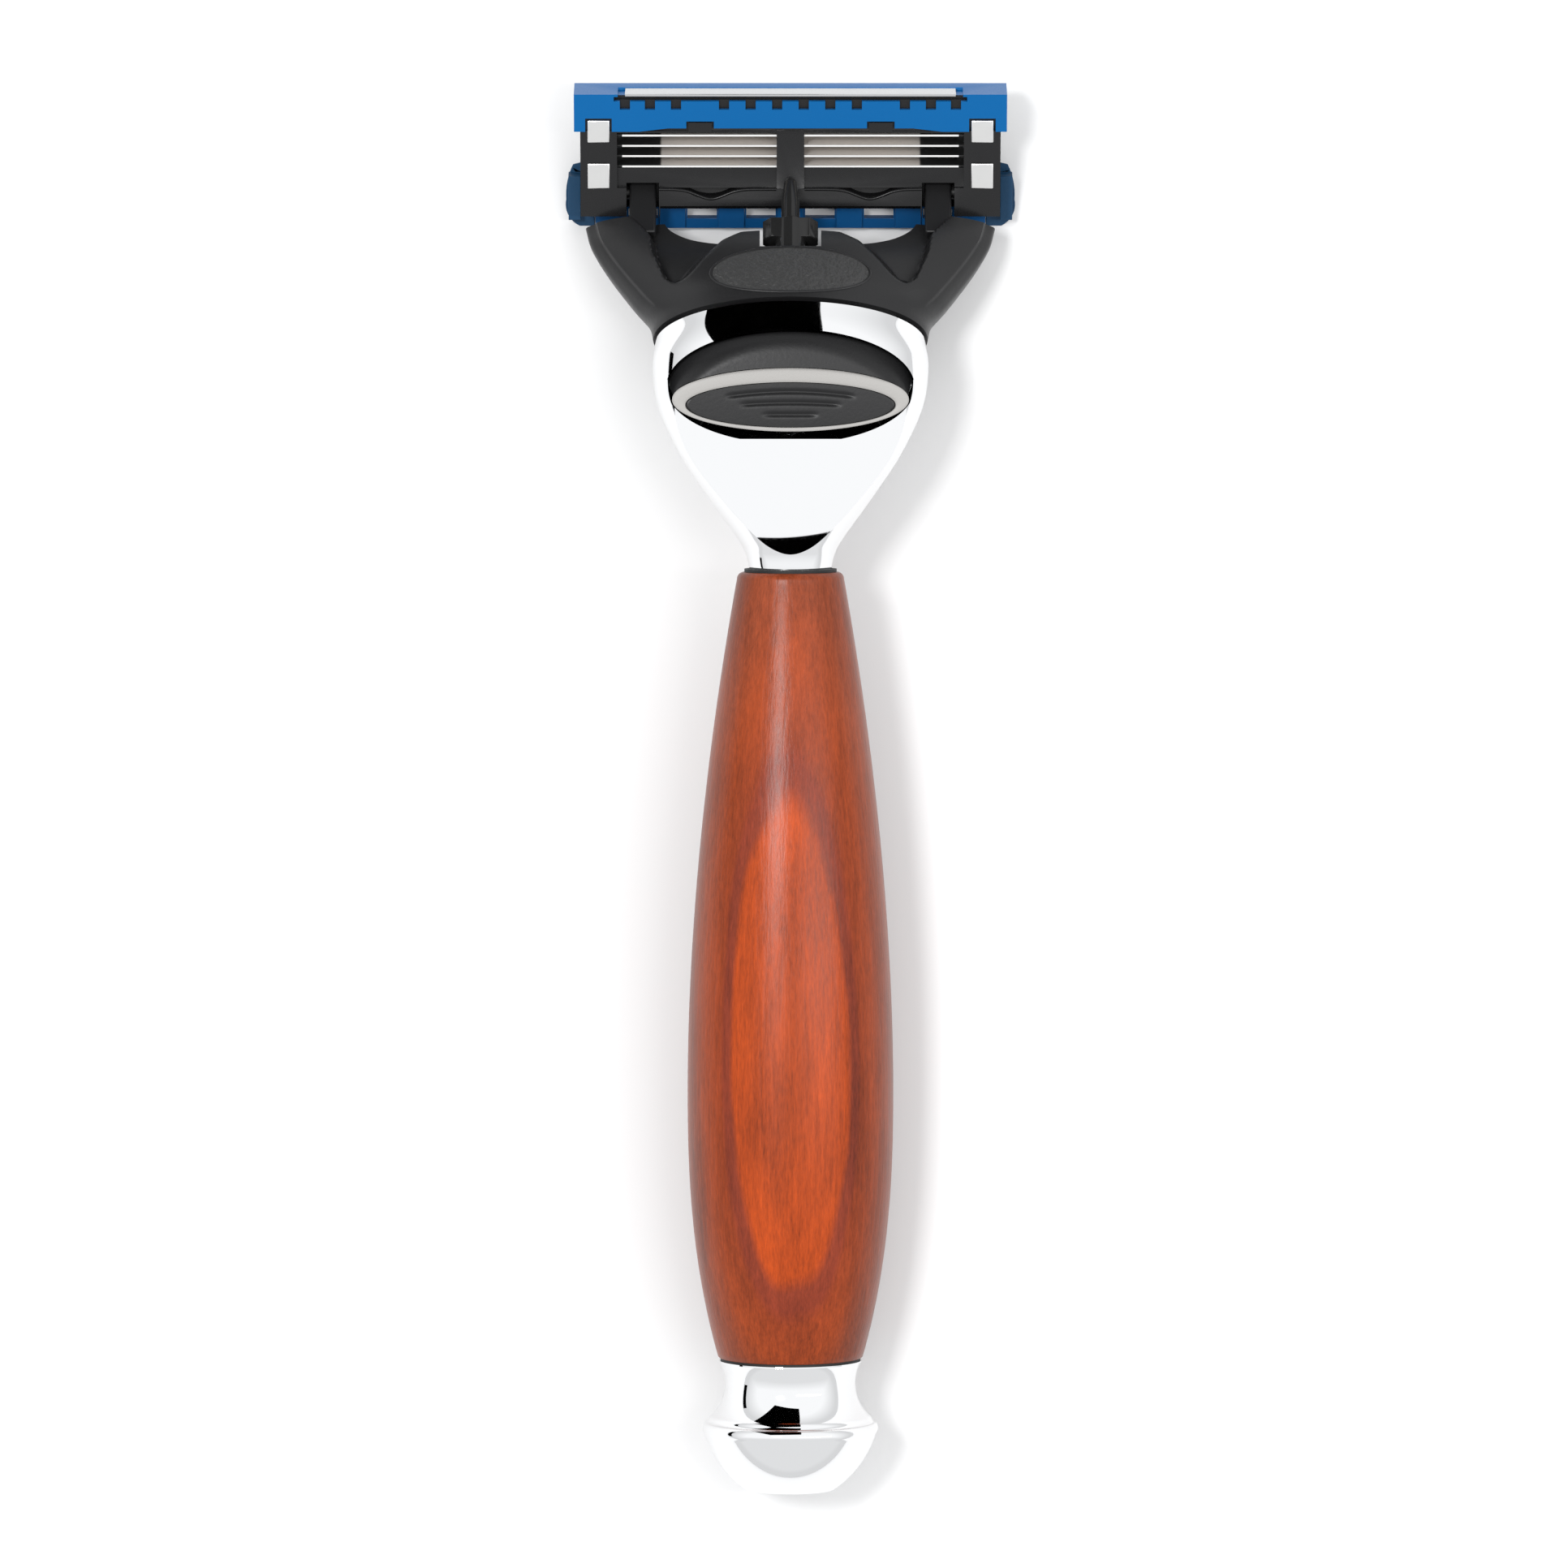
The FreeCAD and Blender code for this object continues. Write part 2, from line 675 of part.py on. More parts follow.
def clip(name, side):
    """A metal band that wraps the cartridge's end, its two tabs folded over the back."""
    low, high = sorted((side * size("clip_inner"), side * size("clip_outer")))
    band = prism(name, "YZ", clip_path, 0, high - low)
    band.Base.Placement = Placement(Vector(low, 0, 0), TURNS["YZ"])
    return band


catches = []
for side in (-1, 1):
    x0, x1 = sorted((side * 7.7, side * 10.0))
    catches.append(block(f"catch_{side + 1}", x0, x1, "band_low - 0.1", 11.85, 4.0, 4.8))
low_wall = block("low_wall", -12.8, 12.8, 0.0, 3.25, 1.95, 9)
housing_open = cut("housing_open", outer, window, wave_cut, cap_step, low_wall)
housing_solid = join("housing_solid", housing_open, rib, shelf, *catches, *end_faces)
clip_slots = [clip("slot_a", -1), clip("slot_b", 1)]
housing = cut("cartridge_housing", housing_solid, strip_seat, *lug_rooms, *pin_holes, *clip_slots)
keep("cartridge_housing", housing, CARTRIDGE)
keep("blade_clip_left", clip("blade_clip_left", -1), CARTRIDGE)
keep("blade_clip_right", clip("blade_clip_right", 1), CARTRIDGE)

# The guard rail is stiffened by small pads, with an opening between each two of them.
PAD_PITCH = 5.8
PAD_HALF = 1.25
OPENING_HALF = 1.45
comb_bar = block("comb_bar", -19.2, 19.2, 0.0, u_low, 0.2, 1.3)
comb_pads = []
for number, x in enumerate(PAD_PITCH * n for n in (-2, -1, 0, 1, 2)):
    comb_pads.append(block(f"comb_pad_{number}", x - PAD_HALF, x + PAD_HALF, 0.1, u_low, 0.25, 1.65))
comb_slots = []
for number, x in enumerate(PAD_PITCH * n for n in (-2.5, -1.5, -0.5, 0.5, 1.5, 2.5)):
    comb_slots.append(block(f"comb_slot_{number}", x - OPENING_HALF, x + OPENING_HALF, 1.0, 2.0, -1, 3))
keep("guard_comb", cut("guard_comb", join("comb_solid", comb_bar, *comb_pads), *comb_slots), CARTRIDGE)

fins_path = mirrored(
    [
        (0, 2.3),
        (19.3, 2.3),
        (19.3, -0.1),
        (20.8, -0.1),
        (21.85, 0.9, "arc"),
        (22.1, 2.6),
        (21.95, 4.6, "arc"),
        (21.4, 6.2),
        (20.6, 6.4),
        (20.6, 4.7),
        (0, 4.7),
    ]
)
fin_sheet = prism("fin_sheet", "XY", fins_path, 0.0, 0.25)
fin_pad = block("fin_pad", -16.9, 16.9, 2.3, 4.7, 0.0, "body_front")
fin_ridges = [block(f"fin_{n}", -16.6, 16.6, 2.45 + 0.45 * n, 2.63 + 0.45 * n, -0.12, 0.1) for n in range(5)]
wings = []
for side in (-1, 1):
    x0, x1 = sorted((side * 20.65, side * 21.85))
    wings.append(block(f"wing_{side + 1}", x0, x1, 0.9, 5.4, 0.0, 1.6))
keep("guard_fins", join("guard_fins", fin_sheet, fin_pad, *fin_ridges, *wings), CARTRIDGE)

BLADE_SLOPE = radians(22)
SUPPORT_TOP = 4.0
FIRST_SUPPORT_TOP = 3.2


def over_blade(edge, along, up):
    """The (u, w) place a little way along a blade from its edge, and up from its lower face."""
    u = edge + along * cos(BLADE_SLOPE) - up * sin(BLADE_SLOPE)
    return u, along * sin(BLADE_SLOPE) + up * cos(BLADE_SLOPE)


for number in range(5):
    edge = size("first_edge") + number * size("blade_span")
    thick = size("blade_thick")
    blade_path = [
        over_blade(edge, 0.0, 0.0),
        over_blade(edge, 0.95, 0.0),
        over_blade(edge, 0.95, thick),
        over_blade(edge, 0.25, thick),
    ]
    blade = prism(f"blade_{number + 1}", "YZ", blade_path, 0, "2 * blade_half_width")
    blade.Base.Placement = Placement(Vector(-size("blade_half_width"), 0, 0), TURNS["YZ"])
    keep(f"blade_{number + 1}", blade, CARTRIDGE)
    corner = over_blade(edge, 1.0, thick)
    top = FIRST_SUPPORT_TOP if number == 0 else SUPPORT_TOP
    support_path = [
        over_blade(edge, 0.3, thick),
        corner,
        (corner[0], top),
        (corner[0] - thick, top),
        over_blade(edge, 0.94, 2 * thick),
        over_blade(edge, 0.3, 2 * thick),
    ]
    support = prism(f"blade_support_{number + 1}", "YZ", support_path, 0, "2 * window_half_width")
    support.Base.Placement = Placement(Vector(-size("window_half_width"), 0, 0), TURNS["YZ"])
    keep(f"blade_support_{number + 1}", support, CARTRIDGE)

keep("lubricating_strip", block("lubricating_strip", -17.2, 17.2, 11.1, 13.8, -0.12, 1.1), CARTRIDGE)

# The blue cap wraps the housing's upper edge; it has notches over a channel for the blade.
band_sides = ("-band_half_width", "band_half_width")
band_outer = block("band_outer", *band_sides, "band_low", "band_top", 0.9, "band_back")
band_inner = block("band_inner", *body_sides, 0, "cap_face", -1, HOUSING_UNDER_BAND)
blade_groove = block("blade_groove", -16.9, 16.9, 14.45, 20, 2.4, 9)
channel = block("channel", -17.3, 17.3, 14.05, 14.5, 4.0, 9)
low_edge_path = mirrored(
    [
        (0, 10),
        (14.8, 10),
        (14.8, 10.96),
        (12, 11.3),
        (0, 11.3),
    ]
)
low_edge = prism("low_edge", "XY", low_edge_path, 4.3, 9)
band_cuts = [blade_groove, channel, low_edge]
for side in (-1, 1):
    x0, x1 = sorted(side * x for x in CLIP_NOTCH)
    band_cuts.append(block(f"clip_notch_{side + 1}", x0, x1, 0, 12.3, 0, 9))
    x0, x1 = sorted((side * 7.5, side * 10.2))
    band_cuts.append(block(f"catch_notch_{side + 1}", x0, x1, 0, 12.0, 0, 9))
    for x in (1.3, 3.9, 6.5, 11.2, 13.75, 16.2):
        low, high = side * x - NOTCH_HALF, side * x + NOTCH_HALF
        band_cuts.append(block(f"slot_{side + 1}_{int(x)}", low, high, 13.2, 14.1, HOUSING_UNDER_BAND, 9))
keep("trimmer_carrier", cut("trimmer_carrier", band_outer, band_inner, *band_cuts), CARTRIDGE)
keep("trimmer_blade", block("trimmer_blade", -16.2, 16.2, 14.45, 14.7, 2.5, 4.6), CARTRIDGE)

# ---- check and write ------------------------------------------------------------------------

doc.recompute()
for label, (thing, frame) in nodes.items():
    thing.Placement = frame.multiply(thing.Placement)
doc.recompute()
for thing in doc.Objects:
    if "Invalid" in thing.State or "Error" in thing.State:
        raise RuntimeError(f"{thing.Name} failed: {thing.State}")
os.makedirs("parts", exist_ok=True)
for label, (thing, frame) in nodes.items():
    shape = thing.Shape
    if shape.isNull() or not shape.isValid() or not shape.Solids:
        raise RuntimeError(f"{label} has no valid solid")
    print(label, len(shape.Solids), round(shape.Volume, 2), [round(v, 2) for v in (
        shape.BoundBox.XMin, shape.BoundBox.XMax, shape.BoundBox.YMin, shape.BoundBox.YMax,
        shape.BoundBox.ZMin, shape.BoundBox.ZMax)])
    shape.exportStep(f"parts/{label}.step")
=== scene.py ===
# %% [markdown]
# # A cartridge razor with a wood grip
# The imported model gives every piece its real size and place. This lesson keeps that frame, and
# puts a finely shaped surface with its own finish over each piece that shows.

import json
from math import cos, pi, radians, sin

import bmesh
import bpy
import numpy as np
from mathutils import Matrix, Vector

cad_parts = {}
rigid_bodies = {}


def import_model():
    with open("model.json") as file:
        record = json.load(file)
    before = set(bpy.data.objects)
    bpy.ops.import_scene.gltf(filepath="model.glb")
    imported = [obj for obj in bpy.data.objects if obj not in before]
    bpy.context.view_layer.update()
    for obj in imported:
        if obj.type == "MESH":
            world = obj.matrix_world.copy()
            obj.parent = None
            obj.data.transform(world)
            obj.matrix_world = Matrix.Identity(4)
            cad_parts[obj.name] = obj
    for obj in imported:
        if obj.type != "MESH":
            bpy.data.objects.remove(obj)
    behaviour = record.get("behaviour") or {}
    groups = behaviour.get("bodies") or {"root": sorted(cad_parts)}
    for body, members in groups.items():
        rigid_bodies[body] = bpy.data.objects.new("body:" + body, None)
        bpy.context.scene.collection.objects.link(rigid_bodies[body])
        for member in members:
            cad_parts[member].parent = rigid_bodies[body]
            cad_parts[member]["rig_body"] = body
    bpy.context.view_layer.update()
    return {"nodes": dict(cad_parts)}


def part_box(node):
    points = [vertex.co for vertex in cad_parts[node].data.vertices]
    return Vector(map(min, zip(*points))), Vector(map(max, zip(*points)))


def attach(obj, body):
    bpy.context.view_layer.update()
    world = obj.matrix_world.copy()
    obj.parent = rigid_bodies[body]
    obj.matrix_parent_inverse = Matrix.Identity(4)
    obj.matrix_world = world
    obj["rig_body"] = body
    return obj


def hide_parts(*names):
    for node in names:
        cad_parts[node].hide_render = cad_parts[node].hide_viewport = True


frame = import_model()
print("pieces in the frame:", len(frame["nodes"]))

# %% [markdown]
# The razor lies face down, so three straight-built groups are each turned a little: the handle
# leans up to the head, the connector dives from the head, and the cartridge sits at an angle.
# Each group is drawn in millimetres along its own axes, and laid into the row frame at the end.
# A group is an origin (y, z) and a turn about X, which keeps every drawing simple. Along the
# handle, lengths start at its foot, which lies SHIFT millimetres behind the row's own origin.

# %% Group frames
MM = 0.001
grip_low, grip_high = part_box("wood_grip")
SHIFT = 68.79
DOCK_ALONG, DOCK_HEIGHT, DOCK_DIVE = 112.0, 11.55, 30.0
HANDLE = (-SHIFT, 8.206, 3.5)
DOCK = (DOCK_ALONG - SHIFT, DOCK_HEIGHT, -DOCK_DIVE)
CARTRIDGE = (124.3 - SHIFT, 0.0, 20.0)
LEVEL = (-SHIFT, 0.0, 0.0)
SEAT = (106.45 - SHIFT, 16.57, 7.4)
middle_x = (grip_low.x + grip_high.x) / 2
print("grip middle is at x =", round(middle_x * 1000, 3), "mm")


def lay(points, group):
    """Turn local millimetres into row metres: a turn about X, then a step to the origin."""
    y0, z0, angle = group
    c, s = cos(radians(angle)), sin(radians(angle))
    x, y, z = points[..., 0], points[..., 1], points[..., 2]
    return np.stack([x, y0 + y * c - z * s, z0 + y * s + z * c], -1) * MM


# %% [markdown]
# Almost every shape here is a grid of points: rows along the piece and columns around it. One
# helper turns any such grid into a closed mesh. It finds which way the faces point by adding
# up the signed volume under them, and turns them outwards when that sum is negative.

# %% From a grid to a closed mesh
def grid_faces(rows, columns, ring=False):
    """Quads between neighbouring rows; columns always wrap, and rows wrap for a ring."""
    r = np.arange(rows if ring else rows - 1)[:, None]
    c = np.arange(columns)[None, :]
    low, high = r * columns, ((r + 1) % rows) * columns
    after = (c + 1) % columns
    return np.stack([low + c, low + after, high + after, high + c], -1).reshape(-1, 4)


def signed_volume(points, quads):
    """A sixth of the sum of triple products over the two triangles of every quad."""
    a, b, c, d = (points[quads[:, k]] for k in range(4))
    first = np.einsum("ij,ij->i", a, np.cross(b, c))
    second = np.einsum("ij,ij->i", a, np.cross(c, d))
    return (first + second).sum() / 6


def mesh_from_grid(name, grid, ring=False):
    """A mesh from a (rows, columns, 3) grid in metres; ends are closed with flat caps."""
    rows, columns = grid.shape[:2]
    points = grid.reshape(-1, 3)
    quads = grid_faces(rows, columns, ring)
    middle = points.mean(0)
    outwards = signed_volume(points - middle, quads) > 0
    faces = (quads if outwards else quads[:, ::-1]).tolist()
    if not ring:
        first = list(range(columns))
        last = [(rows - 1) * columns + k for k in range(columns)]
        faces += [first[::-1], last] if outwards else [first, last[::-1]]
    mesh = bpy.data.meshes.new(name)
    mesh.from_pydata(points.tolist(), [], faces)
    mesh.validate()
    mesh.update()
    return mesh


def place(name, mesh, finish, body, nodes=(), sharp=35.0):
    """Put a mesh in the scene with its finish, riding on its body. It stands for the CAD nodes
    that are named, and edges that turn more than the sharp angle stay crisp."""
    mesh.shade_smooth()
    mesh.set_sharp_from_angle(angle=radians(sharp))
    piece = bpy.data.objects.new(name, mesh)
    bpy.context.scene.collection.objects.link(piece)
    mesh.materials.clear()
    mesh.materials.append(finish)
    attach(piece, body)
    if nodes:
        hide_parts(*nodes)
    return piece


def bevelled(piece, width, segments=2, angle=35):
    """Round a piece's corners by a width in millimetres."""
    modifier = piece.modifiers.new("soft edges", "BEVEL")
    modifier.width = width * MM
    modifier.segments = segments
    modifier.limit_method = "ANGLE"
    modifier.angle_limit = radians(angle)
    return piece


def carved(name, base, *cutters):
    """The base mesh less each cutter, worked out exactly and written to a new mesh."""
    body = bpy.data.objects.new(name + "_base", base)
    bpy.context.scene.collection.objects.link(body)
    tools = []
    for number, cutter in enumerate(cutters):
        tool = bpy.data.objects.new(f"{name}_tool_{number}", cutter)
        bpy.context.scene.collection.objects.link(tool)
        modifier = body.modifiers.new("carve", "BOOLEAN")
        modifier.object = tool
        modifier.operation = "DIFFERENCE"
        modifier.solver = "EXACT"
        tools.append(tool)
    graph = bpy.context.evaluated_depsgraph_get()
    result = bpy.data.meshes.new_from_object(body.evaluated_get(graph))
    for thing in [body] + tools:
        bpy.data.objects.remove(thing)
    return result


def smooth_through(values, count):
    """Catmull-Rom: each stretch is a cubic whose end slopes join the points either side."""
    values = np.asarray(values, float)
    t = np.linspace(0, len(values) - 1, count)
    k = np.minimum(t.astype(int), len(values) - 2)
    f = (t - k)[:, None]
    padded = np.vstack([2 * values[0] - values[1], values, 2 * values[-1] - values[-2]])
    a, b, c, d = padded[k], padded[k + 1], padded[k + 2], padded[k + 3]
    squared = (2 * a - 5 * b + 4 * c - d) * f**2
    cubed = (3 * b - a - 3 * c + d) * f**3
    return 0.5 * (2 * b + (c - a) * f + squared + cubed)


def smooth_step(t):
    """From 0 to 1, level at both ends: 3 t squared less 2 t cubed."""
    t = np.clip(t, 0, 1)
    return t * t * (3 - 2 * t)


def oval_rows(sections, rows, columns):
    """Rows of ellipses (half width, half depth, y, z, tilt), smoothly blended, in local mm."""
    table = smooth_through(sections, rows)
    angle = np.linspace(0, 2 * pi, columns, endpoint=False)[None, :]
    wide, deep, y, z = (table[:, k : k + 1] for k in range(4))
    lean = np.radians(table[:, 4:5])
    up = deep * np.sin(angle)
    return np.stack([wide * np.cos(angle), y + up * np.sin(lean), z + up * np.cos(lean)], -1)


def turned_grid(radius, along, group, columns=160):
    """A profile of (radius, along) carried round the group's own long axis."""
    angle = np.linspace(0, 2 * pi, columns, endpoint=False)[None, :]
    r, a = np.asarray(radius)[:, None], np.asarray(along)[:, None]
    return lay(np.stack([r * np.cos(angle), a + 0 * angle, r * np.sin(angle)], -1), group)


def pulled_across(outline, x0, x1, group):
    """A flat outline of (along, up) pulled across from one place to another."""
    points = np.asarray(outline, float)
    x = np.array([x0, x1])[:, None]
    along, up = points[:, 0] + 0 * x, points[:, 1] + 0 * x
    return lay(np.stack([x + 0 * along, along, up], -1), group)


def arc_points(start, through, end, count=24):
    """Points on the circle through three points, from the first to the last."""
    p, q, r = (np.array(v, float) for v in (start, through, end))
    chords = 2 * np.array([q - p, r - p])
    centre = np.linalg.solve(chords, [q @ q - p @ p, r @ r - p @ p])
    a0, a1, a2 = (np.arctan2(*(v - centre)[::-1]) for v in (p, q, r))
    if (a1 - a0) * (a2 - a1) < 0 or abs(a2 - a0) > pi:
        a1, a2 = (a0 + (a - a0 + pi) % (2 * pi) - pi for a in (a1, a2))
    t = np.linspace(a0, a2, count)[:, None]
    return centre + np.linalg.norm(p - centre) * np.hstack([np.cos(t), np.sin(t)])


# %% [markdown]
# Finishes come next. Most are one Principled shader: chrome is a bright metal with almost no
# roughness, moulded plastic is a dark base with a fine bump, so that its gloss breaks up a
# little, and steel is brushed along X.

# %% Plain finishes
DULL_SHINE = 0.3


def finish_base(name, colour, roughness, metallic=0.0):
    """A material with its colour, roughness and metal set on the shader's own sockets."""
    material = bpy.data.materials.new(name)
    material.use_nodes = True
    shader = material.node_tree.nodes["Principled BSDF"]
    shader.inputs["Base Color"].default_value = (*colour, 1)
    shader.inputs["Roughness"].default_value = roughness
    shader.inputs["Metallic"].default_value = metallic
    if metallic == 0.0:
        shader.inputs["Specular IOR Level"].default_value = DULL_SHINE
    return material, material.node_tree, shader


def object_noise(tree, scale, detail=2.0, stretch=(1, 1, 1)):
    """Noise on the piece's own coordinates, stretched along chosen axes."""
    where = tree.nodes.new("ShaderNodeTexCoord")
    mapping = tree.nodes.new("ShaderNodeMapping")
    mapping.inputs["Scale"].default_value = stretch
    noise = tree.nodes.new("ShaderNodeTexNoise")
    noise.inputs["Scale"].default_value = scale
    noise.inputs["Detail"].default_value = detail
    tree.links.new(where.outputs["Object"], mapping.inputs["Vector"])
    tree.links.new(mapping.outputs["Vector"], noise.inputs["Vector"])
    return noise.outputs["Fac"]


def add_grain(tree, shader, scale, height, stretch=(1, 1, 1), detail=2.0):
    """A fine bump, in metres, from object noise."""
    noise = object_noise(tree, scale, detail, stretch)
    bump = tree.nodes.new("ShaderNodeBump")
    bump.inputs["Strength"].default_value = 1.0
    bump.inputs["Distance"].default_value = height
    tree.links.new(noise, bump.inputs["Height"])
    tree.links.new(bump.outputs["Normal"], shader.inputs["Normal"])
    return noise


def graded(tree, value, low, high, start=0.0, end=1.0):
    """Carry a value that runs from start to end over to low to high, held at both ends."""
    spread = tree.nodes.new("ShaderNodeMapRange")
    spread.inputs["From Min"].default_value = start
    spread.inputs["From Max"].default_value = end
    spread.inputs["To Min"].default_value = low
    spread.inputs["To Max"].default_value = high
    tree.links.new(value, spread.inputs["Value"])
    return spread.outputs["Result"]


def math_node(tree, operation, *values):
    """A math node; each value is a number or another node's output."""
    node = tree.nodes.new("ShaderNodeMath")
    node.operation = operation
    for socket, value in zip(node.inputs, values):
        if isinstance(value, (int, float)):
            socket.default_value = value
        else:
            tree.links.new(value, socket)
    return node.outputs[0]


def vary_roughness(tree, shader, value, low, high):
    """Let a value between 0 and 1 move the roughness between low and high."""
    tree.links.new(graded(tree, value, low, high), shader.inputs["Roughness"])


def moulded_plastic(name, colour, roughness, scale=2600, height=0.00001):
    """A plain plastic whose fine pimpling breaks up its gloss."""
    material, tree, shader = finish_base(name, colour, roughness)
    noise = add_grain(tree, shader, scale, height)
    vary_roughness(tree, shader, noise, roughness * 0.85, roughness * 1.15)
    return material


def brushed_metal(name, colour, roughness, stretch=(1, 14, 14)):
    """A bare metal with fine lines along X."""
    material, tree, shader = finish_base(name, colour, roughness, 1.0)
    noise = add_grain(tree, shader, 900, 0.000002, stretch, 4.0)
    vary_roughness(tree, shader, noise, roughness * 0.8, roughness * 1.25)
    return material


def polished_chrome():
    """Chrome plate: a bright metal, with haze too faint to see except in the highlights."""
    material, tree, shader = finish_base("polished_chrome", (0.80, 0.805, 0.81), 0.03, 1.0)
    noise = object_noise(tree, 300, 3.0)
    vary_roughness(tree, shader, noise, 0.015, 0.05)
    return material


CHROME = polished_chrome()
SATIN_BLACK = moulded_plastic("satin_black_plastic", (0.011, 0.011, 0.0115), 0.34)
GLOSS_BLACK = moulded_plastic("gloss_black_plastic", (0.012, 0.012, 0.012), 0.16, 900, 0.000004)
BUTTON_BLACK = moulded_plastic("button_black", (0.008, 0.008, 0.0085), 0.42, 3200, 0.000012)
HOUSING_BLACK = moulded_plastic("housing_black", (0.007, 0.007, 0.0075), 0.27, 1800, 0.000006)
TRIM_SILVER = moulded_plastic("trim_silver", (0.30, 0.292, 0.28), 0.5, 4200, 0.00002)
BLUE_PLASTIC = moulded_plastic("blue_plastic", (0.003, 0.055, 0.165), 0.3)
BLUE_RUBBER = moulded_plastic("blue_rubber", (0.002, 0.035, 0.085), 0.55, 3000, 0.00002)
STIPPLED = moulded_plastic("stippled_plastic", (0.028, 0.028, 0.028), 0.38, 1900, 0.00025)
# A plain black for the thin rings at the ends of the wood; they draw the dark line at each joint between
# wood and metal.
JOINT_LINE_BLACK = moulded_plastic("joint_line_black", (0.01, 0.01, 0.01), 0.6)
CLIP_METAL = brushed_metal("clip_metal", (0.70, 0.70, 0.69), 0.30)
BLADE_STEEL = brushed_metal("blade_steel", (0.80, 0.79, 0.77), 0.26)
EDGE_STEEL = brushed_metal("edge_steel", (0.95, 0.95, 0.93), 0.3)
SPRING_STEEL = brushed_metal("spring_steel", (0.6, 0.6, 0.6), 0.3)
TRIMMER_STEEL = brushed_metal("trimmer_steel", (0.56, 0.565, 0.57), 0.24)
GLIDE = moulded_plastic("glide_strip", (0.50, 0.68, 0.72), 0.5, 1500, 0.00002)
print("plain finishes:", len(bpy.data.materials))

# %% [markdown]
# The blade supports are pale where they are bare, and dark past the window's inner edges. The
# change is worked out from how far a point is from the middle plane.


# %% Blade supports
WINDOW_EDGE, EDGE_BLEND = 12.7 * MM, 0.1 * MM
BARE_STEEL, SHADED_STEEL = (0.62, 0.58, 0.54, 1), (0.012, 0.012, 0.012, 1)


def support_steel():
    """Pale steel between the window's edges, and dark steel beyond them."""
    material, tree, shader = finish_base("support_steel", (0.6, 0.56, 0.52), 0.5, 0.15)
    where = tree.nodes.new("ShaderNodeTexCoord")
    split = tree.nodes.new("ShaderNodeSeparateXYZ")
    tree.links.new(where.outputs["Object"], split.inputs["Vector"])
    away = math_node(tree, "ABSOLUTE", split.outputs[0])
    mix = tree.nodes.new("ShaderNodeMix")
    mix.data_type = "RGBA"
    mix.inputs[6].default_value = BARE_STEEL
    mix.inputs[7].default_value = SHADED_STEEL
    beyond = graded(tree, away, 0.0, 1.0, WINDOW_EDGE - EDGE_BLEND, WINDOW_EDGE + EDGE_BLEND)
    tree.links.new(beyond, mix.inputs["Factor"])
    tree.links.new(mix.outputs[2], shader.inputs["Base Color"])
    add_grain(tree, shader, 700, 0.000004, (1, 9, 9), 3.0)
    return material


SUPPORT_STEEL = support_steel()

# %% [markdown]
# The trimmer carrier is blue plastic with a metallic lacquer: a blue metal under a clear coat,
# with tiny flakes that turn its roughness up and down.


# %% Metallic blue
def metallic_blue():
    material, tree, shader = finish_base("metallic_blue", (0.0, 0.095, 0.285), 0.34, 0.3)
    shader.inputs["Specular IOR Level"].default_value = 0.15
    shader.inputs["Coat Weight"].default_value = 0.08
    shader.inputs["Coat Roughness"].default_value = 0.12
    noise = add_grain(tree, shader, 5200, 0.000006, detail=3.0)
    vary_roughness(tree, shader, noise, 0.24, 0.42)
    return material


BLUE_METAL = metallic_blue()
print("supports and cap:", SUPPORT_STEEL.name, "and", BLUE_METAL.name)

# %% [markdown]
# The grip is turned from a block whose growth rings are nearly flat sheets. A belly cut from
# such sheets shows them as long ovals on its face, the way a hill shows level lines on a map.
# So the pattern measures the distance from an axis far below the grip, bends it with slow
# noise, and colours by that distance: one dark late-wood ring, paler inside, and mid-brown
# outside. Stretched fine noise adds the fibres along the grip.


# %% Oiled wood
RING_AXIS_DEPTH, RING_AXIS_SIDE = 60.0, 0.6
DARK_RING, DARK_TONE, RING_RISE, RING_BEND = 8.25, 0.3, 0.012, 1.5
FIBRE_SHARE, FLECK_SHARE, CLOUD_SHARE, CONTRAST = 0.55, 0.5, 0.8, 1.7
TONES = (
    (0.06, (0.195, 0.028, 0.004, 1)),
    (0.13, (0.285, 0.037, 0.0028, 1)),
    (0.255, (0.30, 0.039, 0.003, 1)),
    (0.285, (0.165, 0.025, 0.009, 1)),
    (0.32, (0.16, 0.024, 0.009, 1)),
    (0.355, (0.20, 0.030, 0.006, 1)),
    (0.46, (0.22, 0.034, 0.006, 1)),
    (0.60, (0.185, 0.035, 0.011, 1)),
    (0.85, (0.165, 0.033, 0.011, 1)),
)


def grip_millimetres(tree):
    """The piece's own coordinates, turned onto the grip's long axis and in millimetres."""
    where = tree.nodes.new("ShaderNodeTexCoord")
    along = tree.nodes.new("ShaderNodeMapping")
    y0, z0, lean = HANDLE
    c, s = cos(radians(lean)), sin(radians(lean))
    along.inputs["Location"].default_value = (0, -(y0 * c + z0 * s), -(z0 * c - y0 * s))
    along.inputs["Rotation"].default_value = (-radians(lean), 0, 0)
    along.inputs["Scale"].default_value = (1 / MM, 1 / MM, 1 / MM)
    tree.links.new(where.outputs["Object"], along.inputs["Vector"])
    return along.outputs["Vector"]


def grip_noise(tree, along, scale, stretch, detail, rough=0.5):
    """Noise in the grip's millimetres, stretched along chosen axes."""
    stretched = tree.nodes.new("ShaderNodeMapping")
    stretched.inputs["Scale"].default_value = stretch
    node = tree.nodes.new("ShaderNodeTexNoise")
    node.inputs["Scale"].default_value = scale
    node.inputs["Detail"].default_value = detail
    node.inputs["Roughness"].default_value = rough
    tree.links.new(along, stretched.inputs["Vector"])
    tree.links.new(stretched.outputs["Vector"], node.inputs["Vector"])
    return node.outputs["Fac"]


